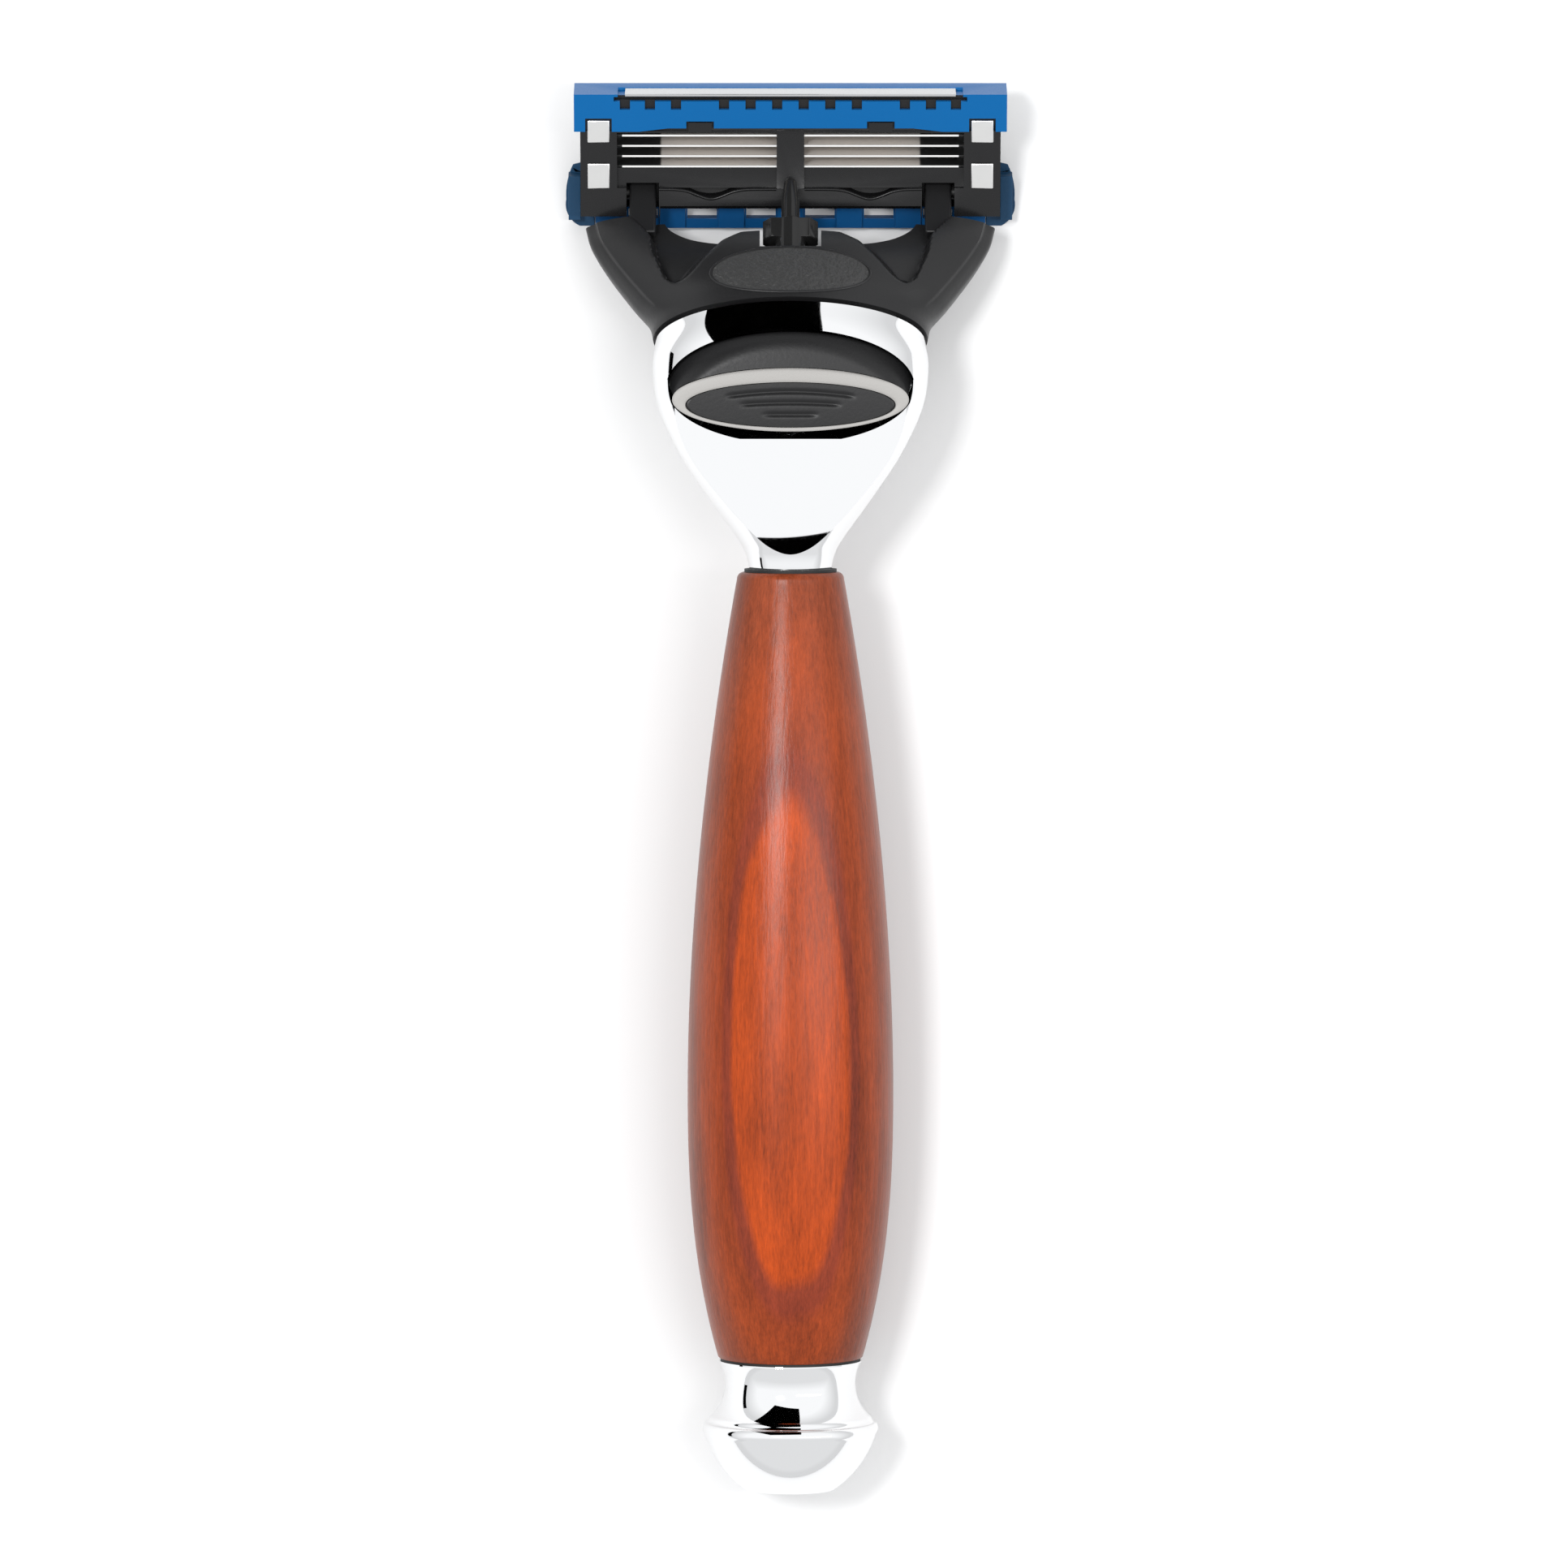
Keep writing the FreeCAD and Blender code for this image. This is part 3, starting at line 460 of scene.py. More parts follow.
def ring_place(tree, along):
    """How far a point lies under the dark ring's sheet, as a place on the tone ramp. The sheet
    is a distance from the deep axis, bent by slow noise and rising along the grip."""
    split = tree.nodes.new("ShaderNodeSeparateXYZ")
    tree.links.new(along, split.inputs["Vector"])
    x = math_node(tree, "ADD", split.outputs[0], -RING_AXIS_SIDE)
    deep = math_node(tree, "ADD", split.outputs[2], RING_AXIS_DEPTH)
    x_squared = math_node(tree, "MULTIPLY", x, x)
    deep_squared = math_node(tree, "MULTIPLY", deep, deep)
    distance = math_node(tree, "SQRT", math_node(tree, "ADD", x_squared, deep_squared))
    away = math_node(tree, "SUBTRACT", distance, RING_AXIS_DEPTH)
    slow = grip_noise(tree, along, 0.09, (1, 0.35, 1), 2.0)
    bend = math_node(tree, "MULTIPLY", math_node(tree, "SUBTRACT", slow, 0.5), RING_BEND)
    rise = math_node(tree, "MULTIPLY", math_node(tree, "SUBTRACT", split.outputs[1], 45.0), RING_RISE)
    ring = math_node(tree, "ADD", math_node(tree, "ADD", away, bend), rise)
    below = math_node(tree, "SUBTRACT", DARK_RING, ring)
    return math_node(tree, "ADD", math_node(tree, "MULTIPLY", below, 0.1), DARK_TONE)


def ring_colour(tree, place_in_rings):
    """The wood's tone at a place in its rings."""
    tone = tree.nodes.new("ShaderNodeValToRGB")
    ends = tone.color_ramp.elements
    ends[0].position, ends[0].color = TONES[0]
    ends[1].position, ends[1].color = TONES[-1]
    for position, colour in TONES[1:-1]:
        ends.new(position).color = colour
    tree.links.new(place_in_rings, tone.inputs["Fac"])
    return tone.outputs["Color"]


def fibre_light(tree, along, fibre):
    """Fibres, flecks and soft clouds together: a factor that swings about 1."""
    fleck = grip_noise(tree, along, 7.0, (1.0, 0.14, 1.0), 2.0, 0.6)
    cloud = grip_noise(tree, along, 0.22, (1.0, 0.22, 1.0), 3.0, 0.55)
    light = math_node(tree, "MULTIPLY", fibre, FIBRE_SHARE)
    for pattern, share in ((fleck, FLECK_SHARE), (cloud, CLOUD_SHARE)):
        light = math_node(tree, "ADD", light, math_node(tree, "MULTIPLY", pattern, share))
    middle = (FIBRE_SHARE + FLECK_SHARE + CLOUD_SHARE) / 2
    swing = math_node(tree, "MULTIPLY", math_node(tree, "SUBTRACT", light, middle), CONTRAST)
    return math_node(tree, "ADD", swing, 1.0)


def oiled_wood():
    """Ring tones times fibre light, with the fibres also in the relief and the gloss."""
    material, tree, shader = finish_base("oiled_wood", (0.5, 0.12, 0.04), 0.36)
    shader.inputs["Specular IOR Level"].default_value = 0.20
    along = grip_millimetres(tree)
    fibre = grip_noise(tree, along, 2.6, (1.0, 0.07, 1.0), 4.0, 0.65)
    shade = tree.nodes.new("ShaderNodeMix")
    shade.data_type = "RGBA"
    shade.blend_type = "MULTIPLY"
    shade.inputs["Factor"].default_value = 1.0
    tree.links.new(ring_colour(tree, ring_place(tree, along)), shade.inputs[6])
    tree.links.new(fibre_light(tree, along, fibre), shade.inputs[7])
    tree.links.new(shade.outputs[2], shader.inputs["Base Color"])
    bump = tree.nodes.new("ShaderNodeBump")
    bump.inputs["Distance"].default_value = 0.00003
    tree.links.new(fibre, bump.inputs["Height"])
    tree.links.new(bump.outputs["Normal"], shader.inputs["Normal"])
    vary_roughness(tree, shader, fibre, 0.24, 0.38)
    return material


WOOD = oiled_wood()
print("wood nodes:", len(WOOD.node_tree.nodes))

# %% [markdown]
# The grip is turned on a lathe: fullest a third of the way up, easing to a narrow foot and a
# slimmer neck. Each side of the belly is one power curve, flat at the belly and steeper away
# from it. Its top edge is rounded over, and the foot edge only broken.

# %% The wood grip
GRIP_START, GRIP_END, BELLY = 13.0, 89.9, 39.4
BELLY_RADIUS, FOOT_RADIUS, NECK_RADIUS = 10.05, 7.06, 5.1


def grip_radius(a):
    """Belly radius less its drop, times how far along that side, to a power."""
    low = (BELLY - a) / (BELLY - GRIP_START)
    high = (a - BELLY) / (GRIP_END - BELLY)
    drop_low = (BELLY_RADIUS - FOOT_RADIUS) * np.clip(low, 0, None) ** 2.5
    drop_high = (BELLY_RADIUS - NECK_RADIUS) * np.clip(high, 0, None) ** 1.85
    return BELLY_RADIUS - drop_low - drop_high


BORE_RADIUS, TOP_ROUND = 2.6, 0.7
side = np.linspace(GRIP_START + 0.12, GRIP_END - TOP_ROUND, 150)
round_over = np.linspace(0, pi / 2, 10)[1:]
round_a = side[-1] + TOP_ROUND * np.sin(round_over)
round_r = grip_radius(side[-1]) - TOP_ROUND * (1 - np.cos(round_over))
broken_edge = grip_radius(GRIP_START) - 0.1
profile_a = np.concatenate([[GRIP_START, GRIP_START], side, round_a, [GRIP_END]])
profile_r = np.concatenate([[BORE_RADIUS, broken_edge], grip_radius(side), round_r, [BORE_RADIUS]])
grip_mesh = mesh_from_grid("grip", turned_grid(profile_r, profile_a, HANDLE))
place("grip", grip_mesh, WOOD, "handle", ["wood_grip"])
print("grip length", round(GRIP_END - GRIP_START, 1), "mm, widest", 2 * BELLY_RADIUS, "mm")

# %% [markdown]
# The end cap is one turned and plated piece: a shallow bowl for a foot, a crisp rim, and a
# hollow waist that flares again to meet the wood. Arcs through three points make each part.

# %% The end cap
foot = np.array([[0.01, 0.0], [4.3, 0.0]])
bowl = arc_points((4.45, 0.06), (7.05, 2.6), (8.46, 5.45))
rim = arc_points((8.5, 5.6), (8.6, 6.15), (8.42, 6.55), 12)
step = arc_points((8.36, 6.62), (8.1, 6.78), (7.98, 7.0), 8)
waist = arc_points((7.9, 7.2), (6.52, 9.6), (6.95, 12.5), 40)
lip = np.array([[7.02, 12.62], [7.0, 12.74], [2.4, 12.75]])
cap_profile = np.vstack([foot, bowl, rim, step, waist, lip])
cap_mesh = mesh_from_grid("cap", turned_grid(cap_profile[:, 0], cap_profile[:, 1], HANDLE, 200))
place("cap", cap_mesh, CHROME, "handle", ["end_cap"])
print("cap length", cap_profile[:, 1].max(), "mm, rim", 2 * cap_profile[:, 0].max(), "mm across")

# %% [markdown]
# The metal head starts as a round neck and swells into a wide oval mouth that turns down
# towards the cartridge. It is cast in one piece, so its skin is one loft of ovals. A thumb
# scoop, an oval opening for the button and the hollow behind the mouth are then cut from it.

# %% The chrome head
BEND_START, BEND_RADIUS = 100.4, 21.0


def bend(angle):
    """Where the head's middle line has got to after turning down by an angle."""
    turn = radians(angle)
    return BEND_START + BEND_RADIUS * sin(turn), -BEND_RADIUS * (1 - cos(turn))


MOUTH_LEAN = 39.5
mouth_y, mouth_z = bend(33.5)
ahead_y, ahead_z = cos(radians(MOUTH_LEAN)), -sin(radians(MOUTH_LEAN))
head_sections = [
    (4.02, 4.0, 90.2, 0, 0),
    (4.4, 4.15, 91.7, 0, 0),
    (5.3, 4.6, 93.3, 0, 0),
    (7.95, 5.3, 97.0, 0, 0),
    (10.8, 5.95, 101.3, 0, 3),
    (12.9, 6.4, *bend(15), 16),
    (13.5, 6.75, *bend(26), 28),
    (13.2, 6.8, mouth_y, mouth_z, MOUTH_LEAN),
]
hollow_sections = [
    (9.4, 2.7, 102.6, -1.7, 8),
    (11.7, 5.0, 105.8, -1.0, 18),
    (12.5, 5.85, *bend(26), 28),
    (12.3, 5.9, mouth_y, mouth_z, MOUTH_LEAN),
    (12.3, 5.9, mouth_y + 2 * ahead_y, mouth_z + 2 * ahead_z, MOUTH_LEAN),
]
skin = mesh_from_grid("skin", lay(oval_rows(head_sections, 140, 240), HANDLE))
hollow = mesh_from_grid("hollow", lay(oval_rows(hollow_sections, 60, 160), HANDLE))


def column(centre_y, half_width, half_length, low, high, group, count=256):
    """A straight column on an oval, between two heights."""
    angle = np.linspace(0, 2 * pi, count, endpoint=False)[None, :]
    z = np.array([low, high])[:, None]
    x = half_width * np.cos(angle) + 0 * z
    y = centre_y + half_length * np.sin(angle) + 0 * z
    return lay(np.stack([x, y, z + 0 * angle], -1), group)


SCOOP_RADIUS, SCOOP_ALONG, SCOOP_HEIGHT, SPOON = 30.0, 102.4, 32.2, 0.02


def scoop_cutter():
    """A block whose underside is a wide arc along the head; away from the middle the same arc
    starts later, by the square of x, so that level lines across the scoop curve like a spoon."""
    back, front, top_height = 84.0, 120.0, 24.0
    a = np.linspace(back, front, 120)[None, :]
    x = np.linspace(-20.0, 20.0, 121)[:, None]
    late = SPOON * np.minimum(np.abs(x), 9.0) ** 2
    reach = np.clip(SCOOP_RADIUS**2 - (a - late - SCOOP_ALONG) ** 2, 1.0, None)
    under_height = np.minimum(SCOOP_HEIGHT - np.sqrt(reach), 20.0)
    under = np.stack([x + 0 * a, a + 0 * x, under_height], -1)
    ends = np.array([[front, back]])
    top = np.stack([x + 0 * ends, 0 * x + ends, top_height + 0 * x + 0 * ends], -1)
    return mesh_from_grid("scoop", lay(np.concatenate([under, top], 1), HANDLE))


opening = mesh_from_grid("opening", column(107.65, 12.1, 5.55, 14.5, 26.0, LEVEL))
head_mesh = carved("head", skin, scoop_cutter(), hollow, opening)
place("head", head_mesh, CHROME, "handle", ["head_shell"], sharp=28)
print("head faces:", len(head_mesh.polygons))

# %% [markdown]
# The eject button fills the oval opening. Its black dome runs under the chrome crescent, so
# its top is an oval sheet bent round the docking line and levelled off at the back. A matt
# silver ring and a ribbed thumb pad sit in a seat cut into it.


# %% The eject button
BUTTON_ALONG, BUTTON_HALF_WIDTH, BUTTON_HALF_LENGTH = 108.15, 11.8, 4.85
DIVE_COS, DIVE_SIN = 0.866, 0.5


def button_top(x, y):
    """The lower of a sheet bent round the docking line and a gentle crown, softly joined."""
    reach = np.sqrt(np.clip(1 - (x / 12.05) ** 2, 0.02, 1))
    bent = DOCK_HEIGHT + (5.42 * reach - DIVE_SIN * (y - DOCK_ALONG)) / DIVE_COS
    crown = 17.95 - 0.012 * (y - 110.5) ** 2 - 0.0035 * x**2
    gap = 0.45
    mix = np.clip(0.5 + 0.5 * (crown - bent) / gap, 0, 1)
    return crown * (1 - mix) + bent * mix - gap * mix * (1 - mix)


def button_grid(rings=40, columns=200):
    """Ovals from the middle out over the top, then straight down the side."""
    angle = np.linspace(0, 2 * pi, columns, endpoint=False)[None, :]
    r = np.concatenate([np.linspace(0.01, 0.985, rings), [0.995, 1.0, 1.0, 0.98]])[:, None]
    x = BUTTON_HALF_WIDTH * r * np.cos(angle)
    y = BUTTON_ALONG + BUTTON_HALF_LENGTH * r * np.sin(angle)
    z = button_top(x, y)
    z[-4] -= 0.05
    z[-3] -= 0.14
    front = DOCK_HEIGHT + (DIVE_COS * (y - DOCK_ALONG) + 1.62) / DIVE_SIN
    floor = np.minimum(np.maximum(15.1 + 0 * y, front), z[-3] - 0.3)
    z[-2], z[-1] = floor[-2], floor[-1]
    return lay(np.stack([x, y, z], -1), LEVEL)


dome = mesh_from_grid("dome", button_grid())
seat_cut = mesh_from_grid("seat", column(0.0, 11.62, 3.2, 0.0, 6.0, SEAT))
button_mesh = carved("button", dome, seat_cut)
place("button", button_mesh, BUTTON_BLACK, "button", ["eject_button"])


TRIM_OUTER, TRIM_INNER, TRIM_SHIFT = (11.5, 3.1), (10.22, 2.22), -0.5


def trim_grid(columns=240):
    """A ring between two ovals with a softly rounded top, carried round by its angle."""
    angle = np.linspace(0, 2 * pi, columns, endpoint=False)[None, :]
    across = np.array([0.0, 0.0, 0.06, 0.2, 0.5, 0.8, 0.94, 1.0, 1.0])[:, None]
    height = np.array([0.0, 0.58, 0.66, 0.7, 0.72, 0.7, 0.66, 0.58, 0.0])[:, None]
    wide, deep = (outer * (1 - across) + inner * across for outer, inner in zip(TRIM_OUTER, TRIM_INNER))
    y = TRIM_SHIFT * across + deep * np.sin(angle)
    return lay(np.stack([wide * np.cos(angle), y, height + 0 * angle], -1), SEAT)


trim_mesh = mesh_from_grid("trim", trim_grid(), ring=True)
place("trim", trim_mesh, TRIM_SILVER, "button", ["button_trim"])


GROOVES = ((0.78, 6.6, 0.012), (-0.30, 5.2, 0.008), (-1.45, 3.0, 0.0))
GROOVE_DEPTH, GROOVE_WIDTH = 0.17, 0.22


def pad_grid(rings=64, columns=280):
    """An oval pad with three shallow thumb grooves, each a soft dip along an arc."""
    angle = np.linspace(0, 2 * pi, columns, endpoint=False)[None, :]
    r = np.concatenate([np.linspace(0.01, 0.97, rings), [0.99, 1.0, 1.0]])[:, None]
    x, y = 10.15 * r * np.cos(angle), -0.5 + 2.17 * r * np.sin(angle)
    z = 0.56 - 0.05 * r**2 + 0 * angle
    for middle, half_long, curve in GROOVES:
        line = y - middle + curve * x**2
        ends = smooth_step((half_long - np.abs(x)) / 1.2)
        z -= GROOVE_DEPTH * np.exp(-((line / GROOVE_WIDTH) ** 2)) * ends
    z[-2] -= 0.05
    z[-1] = 0.0
    return lay(np.stack([x, y, z], -1), SEAT)


place("pad", mesh_from_grid("pad", pad_grid()), BUTTON_BLACK, "button", ["button_pad"])

# %% [markdown]
# The connector carries the cartridge. From the mouth of the head it spreads into two curved
# arms, and between them its roof ends in a soft edge. It is a shell: a loft of ovals, less a
# smaller loft, less the gap between the arms. The pivot lugs and pins are added to its ends.

# %% The connector
yoke_sections = [
    (13.4, 6.8, 0.5, 0, 6),
    (13.9, 6.8, 2.4, 0, 2),
    (15.6, 6.7, 4.6, 0, 0),
    (17.9, 6.1, 8.0, 0, 0),
    (19.5, 5.0, 11.0, 0, 0),
    (20.1, 3.9, 13.3, 0, 0),
]
yoke_hollow_sections = [
    (11.9, 5.9, -1.0, 0, 0),
    (14.0, 5.9, 4.0, 0, 0),
    (16.4, 5.1, 8.0, 0, 0),
    (17.8, 3.9, 11.0, 0, 0),
    (18.3, 2.7, 14.0, 0, 0),
]


yoke_table = smooth_through(yoke_sections, 400)
roof_along = yoke_table[:, 2] + yoke_table[:, 1] * np.sin(np.radians(yoke_table[:, 4]))


def yoke_half_width(d):
    """Half the connector's width at a distance along the docking line."""
    return np.interp(d, yoke_table[:, 2], yoke_table[:, 0])


POCKET_DEPTH, BORDER_DEPTH, BORDER_WIDTH = 2.1, 0.22, 1.05


def arm_relief(x, d):
    """How far the shell dips, in mm. Beside the dome each arm has a pocket between an S-shaped
    outer edge and the dome's foot; along its outside runs a narrow lowered border."""
    x = np.abs(x)
    outer = np.interp(d, [3.5, 5.0, 8.2, 10.5, 12.7, 14.0], [11.0, 12.4, 13.6, 13.9, 15.3, 16.4])
    inner = np.interp(d, [3.5, 4.0, 6.35, 8.7, 10.0, 14.0], [10.8, 10.2, 8.4, 6.3, 4.0, 3.0])
    across = smooth_step((outer - x) / 0.7) * smooth_step((x - inner) / 1.7)
    pocket = across * smooth_step((d - 3.9) / 1.8)
    rim = yoke_half_width(d) - BORDER_WIDTH
    border = smooth_step((x - rim) / 0.12) * smooth_step((d - 2.6) / 1.2)
    return POCKET_DEPTH * pocket + BORDER_DEPTH * border


def relieved(grid):
    """Lower the upper half of a grid by the arm relief."""
    grid = grid.copy()
    grid[..., 2] -= arm_relief(grid[..., 0], grid[..., 1]) * smooth_step(grid[..., 2] / 1.2)
    return grid


def prism_grid(outline, low, high, group):
    """A flat outline of (x, y) pulled up between two heights."""
    points = np.asarray(outline, float)
    z = np.array([low, high])[:, None]
    x, y = points[:, 0] + 0 * z, points[:, 1] + 0 * z
    return lay(np.stack([x, y, z + 0 * x], -1), group)


roof_edge = smooth_through([(3.2, 9.65), (6.6, 9.6), (9.6, 10.5), (11.6, 12.0), (12.6, 13.8)], 40)
half_gap = np.vstack([[[0.0, 9.8]], roof_edge, [[12.6, 20.0]]])
gap_outline = np.vstack([half_gap, half_gap[:0:-1] * (-1, 1)])
yoke_skin = mesh_from_grid("yoke_skin", lay(relieved(oval_rows(yoke_sections, 110, 420)), DOCK))
yoke_hollow = mesh_from_grid("yoke_hollow", lay(relieved(oval_rows(yoke_hollow_sections, 70, 240)), DOCK))
front_gap = mesh_from_grid("front_gap", prism_grid(gap_outline, -12, 12, DOCK))
notch = mesh_from_grid("notch", prism_grid([(-3, 7.4), (3, 7.4), (3, 12), (-3, 12)], 0, 9, DOCK))
yoke_mesh = carved("yoke", yoke_skin, yoke_hollow, front_gap, notch)
yoke = place("connector_shell", yoke_mesh, SATIN_BLACK, "connector", ["connector"], 32)
bevelled(yoke, 0.25, angle=40)
print("connector faces:", len(yoke_mesh.polygons))

PIVOT_ALONG, PIVOT_UP = 17.13, 0.8
LUG_ROUND, LUG_BACK, LUG_NECK = 1.1, 11.4, 13.0



def lug_grid(x0, x1):
    """A flat arm with a round end, pulled across from one face to the other."""
    turn = np.linspace(-pi / 2, pi / 2, 24)
    end = np.column_stack([PIVOT_ALONG + LUG_ROUND * np.cos(turn), PIVOT_UP + LUG_ROUND * np.sin(turn)])
    root = [[LUG_BACK, PIVOT_UP + 1.8], [LUG_BACK, PIVOT_UP - 1.8], [LUG_NECK, PIVOT_UP - 1.3]]
    outline = np.vstack([root, end, [[LUG_NECK, PIVOT_UP + 1.3]]])
    return pulled_across(outline, x0, x1, DOCK)


def pin_grid(x0, x1, radius, count=32):
    """A round pin across, between two places on the pivot line."""
    angle = np.linspace(0, 2 * pi, count, endpoint=False)
    circle = np.column_stack([PIVOT_ALONG + radius * np.cos(angle), PIVOT_UP + radius * np.sin(angle)])
    return pulled_across(circle, x0, x1, DOCK)


# %% [markdown]
# A raised oval frames a plain stippled field on the dome. Both follow the dome's own height,
# so they are drawn on the oval sections: the depth there, times the share of a circle left.


# %% The oval badge
def dome_height(x, d):
    """Height of the dome over the docking line, from the interpolated sections."""
    deep = np.interp(d, roof_along, yoke_table[:, 1])
    wide = np.interp(d, roof_along, yoke_table[:, 0])
    return deep * np.sqrt(1 - (x / wide) ** 2)


BADGE_X, BADGE_D, BADGE_MIDDLE, BEAD = 7.8, 2.75, 4.5, 0.14


def badge_ring(columns=200, around=10):
    """A thin half-sunk bead carried round an oval on the dome."""
    t = np.linspace(0, 2 * pi, columns, endpoint=False)[:, None]
    p = np.linspace(0, 2 * pi, around, endpoint=False)[None, :]
    x = (BADGE_X + BEAD * np.cos(p)) * np.cos(t)
    d = BADGE_MIDDLE + (BADGE_D + BEAD * np.cos(p)) * np.sin(t)
    return lay(np.stack([x, d, dome_height(x, d) + 0.10 * np.sin(p) + 0.02], -1), DOCK)


def badge_field(rings=24, columns=160):
    """A thin oval sheet on the dome: its top follows the height, and its back is sunk."""
    t = np.linspace(0, 2 * pi, columns, endpoint=False)[None, :]
    r = np.concatenate([np.linspace(0.01, 0.975, rings), np.linspace(0.975, 0.01, rings)])[:, None]
    x, d = BADGE_X * r * np.cos(t), BADGE_MIDDLE + BADGE_D * r * np.sin(t)
    lift = np.concatenate([np.full(rings, 0.03), np.full(rings, -0.3)])[:, None]
    return lay(np.stack([x, d, dome_height(x, d) + lift], -1), DOCK)


ring_mesh = mesh_from_grid("badge_ring", badge_ring(), ring=True)
place("badge_ring", ring_mesh, SATIN_BLACK, "connector")
field_mesh = mesh_from_grid("badge_field", badge_field())
place("badge_field", field_mesh, STIPPLED, "connector")

# %% [markdown]
# At the end of each arm a flat lug with a round end holds a pin: the axle of the cartridge.

# %% The pivot lugs and pins
LUG_IN, LUG_OUT, PIN_IN, PIN_OUT, PIN_RADIUS = 13.2, 15.8, 15.6, 17.4, 0.7
SIDES = (("left", -1), ("right", 1))
for word, sign in SIDES:
    lug_mesh = mesh_from_grid("lug", lug_grid(*sorted((sign * LUG_IN, sign * LUG_OUT))))
    bevelled(place(f"lug_{word}", lug_mesh, SATIN_BLACK, "connector"), 0.2)
    pin_mesh = mesh_from_grid("pin", pin_grid(*sorted((sign * PIN_IN, sign * PIN_OUT)), PIN_RADIUS))
    place(f"pivot_pin_{word}", pin_mesh, SATIN_BLACK, "connector")

# %% [markdown]
# The plunger is a slim rod that tapers to a round tip and pushes on the cartridge's rib. It
# slides in a tube whose front is a small faceted tee, moulded in glossy black.

# %% Plunger and collar
TIP_RADIUS, TIP_CENTRE, PLUNGER_LIFT = 0.66, 15.95, 4.0
rod_taper = [(0.01, 5.5), (1.14, 5.5), (1.14, 6.2), (0.9, 6.25), (0.9, 13.7)]
tip_turn = np.linspace(0.1, pi / 2 - 0.02, 14)
tip = np.column_stack([TIP_RADIUS * np.cos(tip_turn), TIP_CENTRE + TIP_RADIUS * np.sin(tip_turn)])
rod_profile = np.vstack([rod_taper, tip])
dive = radians(DOCK_DIVE)
PLUNGER = (DOCK[0] + PLUNGER_LIFT * sin(dive), DOCK[1] + PLUNGER_LIFT * cos(dive), DOCK[2])
plunger_mesh = mesh_from_grid("plunger_rod", turned_grid(rod_profile[:, 0], rod_profile[:, 1], PLUNGER, 64))
place("plunger_rod", plunger_mesh, GLOSS_BLACK, "plunger", ["plunger"])

# %% [markdown]
# Pieces whose CAD shape is already right are only softened: a copy is merged into one skin,
# flat areas are cleaned of extra edges, and every corner gets a small round so it catches
# light. That is quicker than redrawing a box, and keeps the frame's own sizes.


# %% Softened copies of CAD pieces
def softened(node, finish, width=0.1, segments=2):
    """A merged copy of a CAD piece with rounded corners."""
    source = frame["nodes"][node]
    mesh = source.data.copy()
    work = bmesh.new()
    work.from_mesh(mesh)
    bmesh.ops.remove_doubles(work, verts=work.verts, dist=0.000002)
    bmesh.ops.dissolve_limit(work, angle_limit=radians(1.0), verts=work.verts, edges=work.edges)
    work.to_mesh(mesh)
    work.free()
    piece = place(node + "_soft", mesh, finish, source["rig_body"], [node])
    return bevelled(piece, width, segments)


softened("plunger_collar", GLOSS_BLACK, 0.12, 2)
softened("docking_insert", SATIN_BLACK, 0.1, 2)
softened("cartridge_housing", HOUSING_BLACK, 0.1, 2)
softened("guard_comb", BLUE_PLASTIC, 0.08, 2)
softened("guard_fins", BLUE_RUBBER, 0.08, 2)
softened("trimmer_carrier", BLUE_METAL, 0.14, 3)
softened("trimmer_blade", TRIMMER_STEEL, 0.03, 1)
softened("lubricating_strip", GLIDE, 0.15, 2)
for word in ("left", "right"):
    softened(f"blade_clip_{word}", CLIP_METAL, 0.12, 3)
keep_as_cad = {
    # The thin rings at both ends of the wood are black, which draws a dark line at each joint between wood
    # and metal.
    "end_gasket": JOINT_LINE_BLACK,
    "neck_gasket": JOINT_LINE_BLACK,
    "tie_rod": SPRING_STEEL,
    "plunger_spring": SPRING_STEEL,
    "button_spring": SPRING_STEEL,
    "ejector": SATIN_BLACK,
}
for number in range(1, 6):
    keep_as_cad[f"blade_{number}"] = BLADE_STEEL
    keep_as_cad[f"blade_support_{number}"] = SUPPORT_STEEL
for node, finish in keep_as_cad.items():
    mesh = frame["nodes"][node].data
    mesh.materials.clear()
    mesh.materials.append(finish)

# %% [markdown]
# Three details are too fine for the CAD pieces. Each blade support ends in a bright turned
# edge, the wall in front of the blades has a raised lip that waves with it, and the blue band
# hides a black floor under its row of notches.


# %% Fine cartridge details
def bar_grid(x0, x1, u0, u1, w0, w1):
    """A plain bar between two corners, along the cartridge's own axes."""
    return pulled_across([(u0, w0), (u1, w0), (u1, w1), (u0, w1)], x0, x1, CARTRIDGE)


FIRST_EDGE, BLADE_PITCH, SUPPORT_LEAN, EDGE_REACH = 5.3, 1.05, 0.89, 16.5
for number in range(1, 5):
    u = FIRST_EDGE + BLADE_PITCH * number + SUPPORT_LEAN
    edge_mesh = mesh_from_grid("edge", bar_grid(-EDGE_REACH, EDGE_REACH, u - 0.15, u + 0.03, 3.98, 4.1))
    place(f"support_edge_{number + 1}", edge_mesh, EDGE_STEEL, "blade_unit")


LIP_BACK, LIP_DIP, ARM_PLACE, DIP_WIDTH = 4.98, 0.98, 7.8, 1.9


def lip_grid(x0, x1, rows=90, around=12):
    """A thin bead across the wall; its place dips like a bell curve beside each arm."""
    x = np.linspace(x0, x1, rows)[:, None]
    p = np.linspace(0, 2 * pi, around, endpoint=False)[None, :]
    u = LIP_BACK - LIP_DIP * np.exp(-(((np.abs(x) - ARM_PLACE) / DIP_WIDTH) ** 2))
    w = 4.58 + 0.16 * np.sin(p) + 0 * x
    return lay(np.stack([x + 0 * p, u + 0.15 * np.cos(p), w], -1), CARTRIDGE)


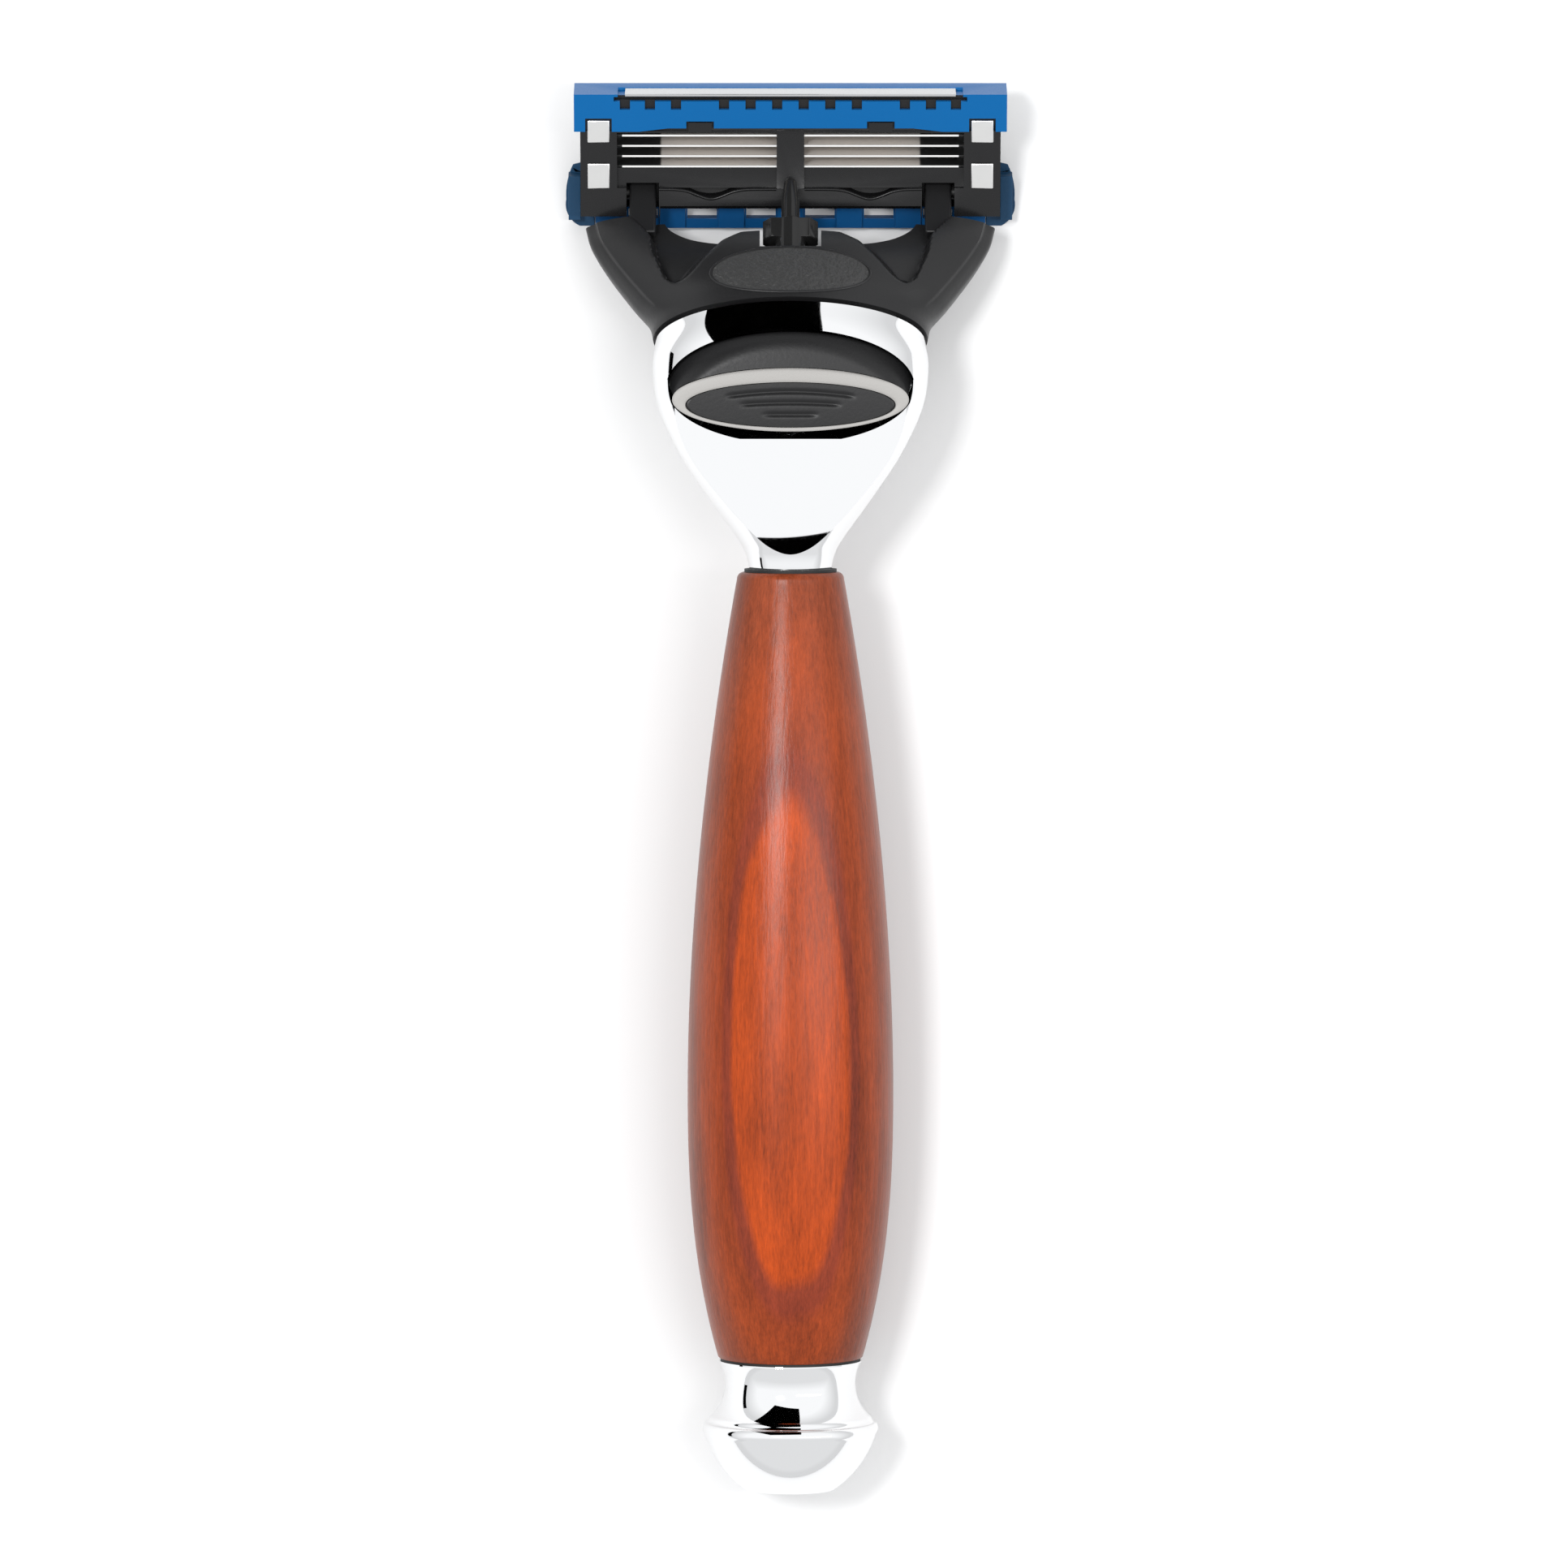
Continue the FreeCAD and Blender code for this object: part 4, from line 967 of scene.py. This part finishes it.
for word, sign in SIDES:
    lip_mesh = mesh_from_grid("lip", lip_grid(*sorted((sign * 1.4, sign * 12.9))))
    place(f"wall_lip_{word}", lip_mesh, HOUSING_BLACK, "blade_unit")
floor_mesh = mesh_from_grid("channel_floor", bar_grid(-17.25, 17.25, 14.06, 14.44, 4.0, 4.05))
place("channel_floor", floor_mesh, HOUSING_BLACK, "blade_unit")

# %% [markdown]
# The stage is a plain pale floor. Two black cards, one beyond the head and one at the side,
# give the chrome its dark shapes. They are hidden from the camera, cast no shadow and tint
# nothing. The sky is brightest overhead, and a little dimmer low down and towards the foot.
# The camera looks straight down with a long lens.


# %% Floor, cards, lights and camera
def flat_card(name, centre, width, height, facing, colour, camera=True):
    """A flat card turned to face a point."""
    bpy.ops.mesh.primitive_plane_add(size=1)
    card = bpy.context.object
    card.name = name
    card.data.transform(Matrix.Diagonal((width, height, 1, 1)))
    card.rotation_euler = (Vector(facing) - Vector(centre)).to_track_quat("Z", "Y").to_euler()
    card.location = centre
    material, tree, shader = finish_base(name, colour, 0.9)
    shader.inputs["Specular IOR Level"].default_value = 0.0
    card.data.materials.append(material)
    card.visible_camera = camera
    return card


flat_card("floor", (0, 0, 0), 6, 6, (0, 0, 1), (0.68, 0.68, 0.68))
BLACK, CARD_DISTANCE, card_turn = (0.0, 0.0, 0.0), 0.5, radians(62)
card_middle = (-0.10, CARD_DISTANCE * sin(card_turn), CARD_DISTANCE * cos(card_turn) + 0.02)
dark_card = flat_card("dark_card", card_middle, 0.42, 0.62, (0, 0.03, 0.01), BLACK, camera=False)
side_card = flat_card("side_card", (-0.6, 0.05, 0.05), 0.5, 0.07, (0, 0.04, 0.01), BLACK, camera=False)
for card in (dark_card, side_card):
    card.visible_diffuse = False
    card.visible_shadow = False

SIDE_LIGHT, TOP_LIGHT, FOOT_LIGHT = 0.85, 1.2, 0.93
world = bpy.data.worlds.new("studio")
bpy.context.scene.world = world
world.use_nodes = True
sky = world.node_tree
direction = sky.nodes.new("ShaderNodeTexCoord")
split = sky.nodes.new("ShaderNodeSeparateXYZ")
sky.links.new(direction.outputs["Generated"], split.inputs["Vector"])
overhead = graded(sky, split.outputs[2], SIDE_LIGHT, TOP_LIGHT, 0.1, 0.5)
from_foot = graded(sky, split.outputs[1], FOOT_LIGHT, TOP_LIGHT, -0.5, -0.15)
background = sky.nodes["Background"]
sky.links.new(math_node(sky, "MINIMUM", overhead, from_foot), background.inputs["Strength"])
background.inputs["Color"].default_value = (0.985, 0.99, 1.0, 1)


def soft_light(name, where, size, power, aim=(0, 0, 0.01), size_y=None):
    """An area light aimed at the razor."""
    light = bpy.data.lights.new(name, "AREA")
    light.energy = power
    light.size = size
    if size_y:
        light.shape = "RECTANGLE"
        light.size_y = size_y
    lamp = bpy.data.objects.new(name, light)
    lamp.location = where
    lamp.rotation_euler = (Vector(aim) - Vector(where)).to_track_quat("-Z", "Y").to_euler()
    bpy.context.scene.collection.objects.link(lamp)
    return lamp


soft_light("key_light", (-0.36, 0.15, 1.14), 0.22, 8.0)
soft_light("strip_light", (0.60, 0.0, 0.95), 0.045, 4.4, size_y=0.9)

VIEW_WIDTH, DISTANCE, SENSOR = 0.15333, 1.1, 36
camera_data = bpy.data.cameras.new("camera")
camera_data.lens = SENSOR * DISTANCE / VIEW_WIDTH
camera_data.sensor_width = SENSOR
camera = bpy.data.objects.new("camera", camera_data)
camera.location = (-0.00063, 0.00026, DISTANCE + 0.01)
bpy.context.scene.collection.objects.link(camera)
bpy.context.scene.camera = camera
bpy.context.scene.view_settings.view_transform = "Standard"
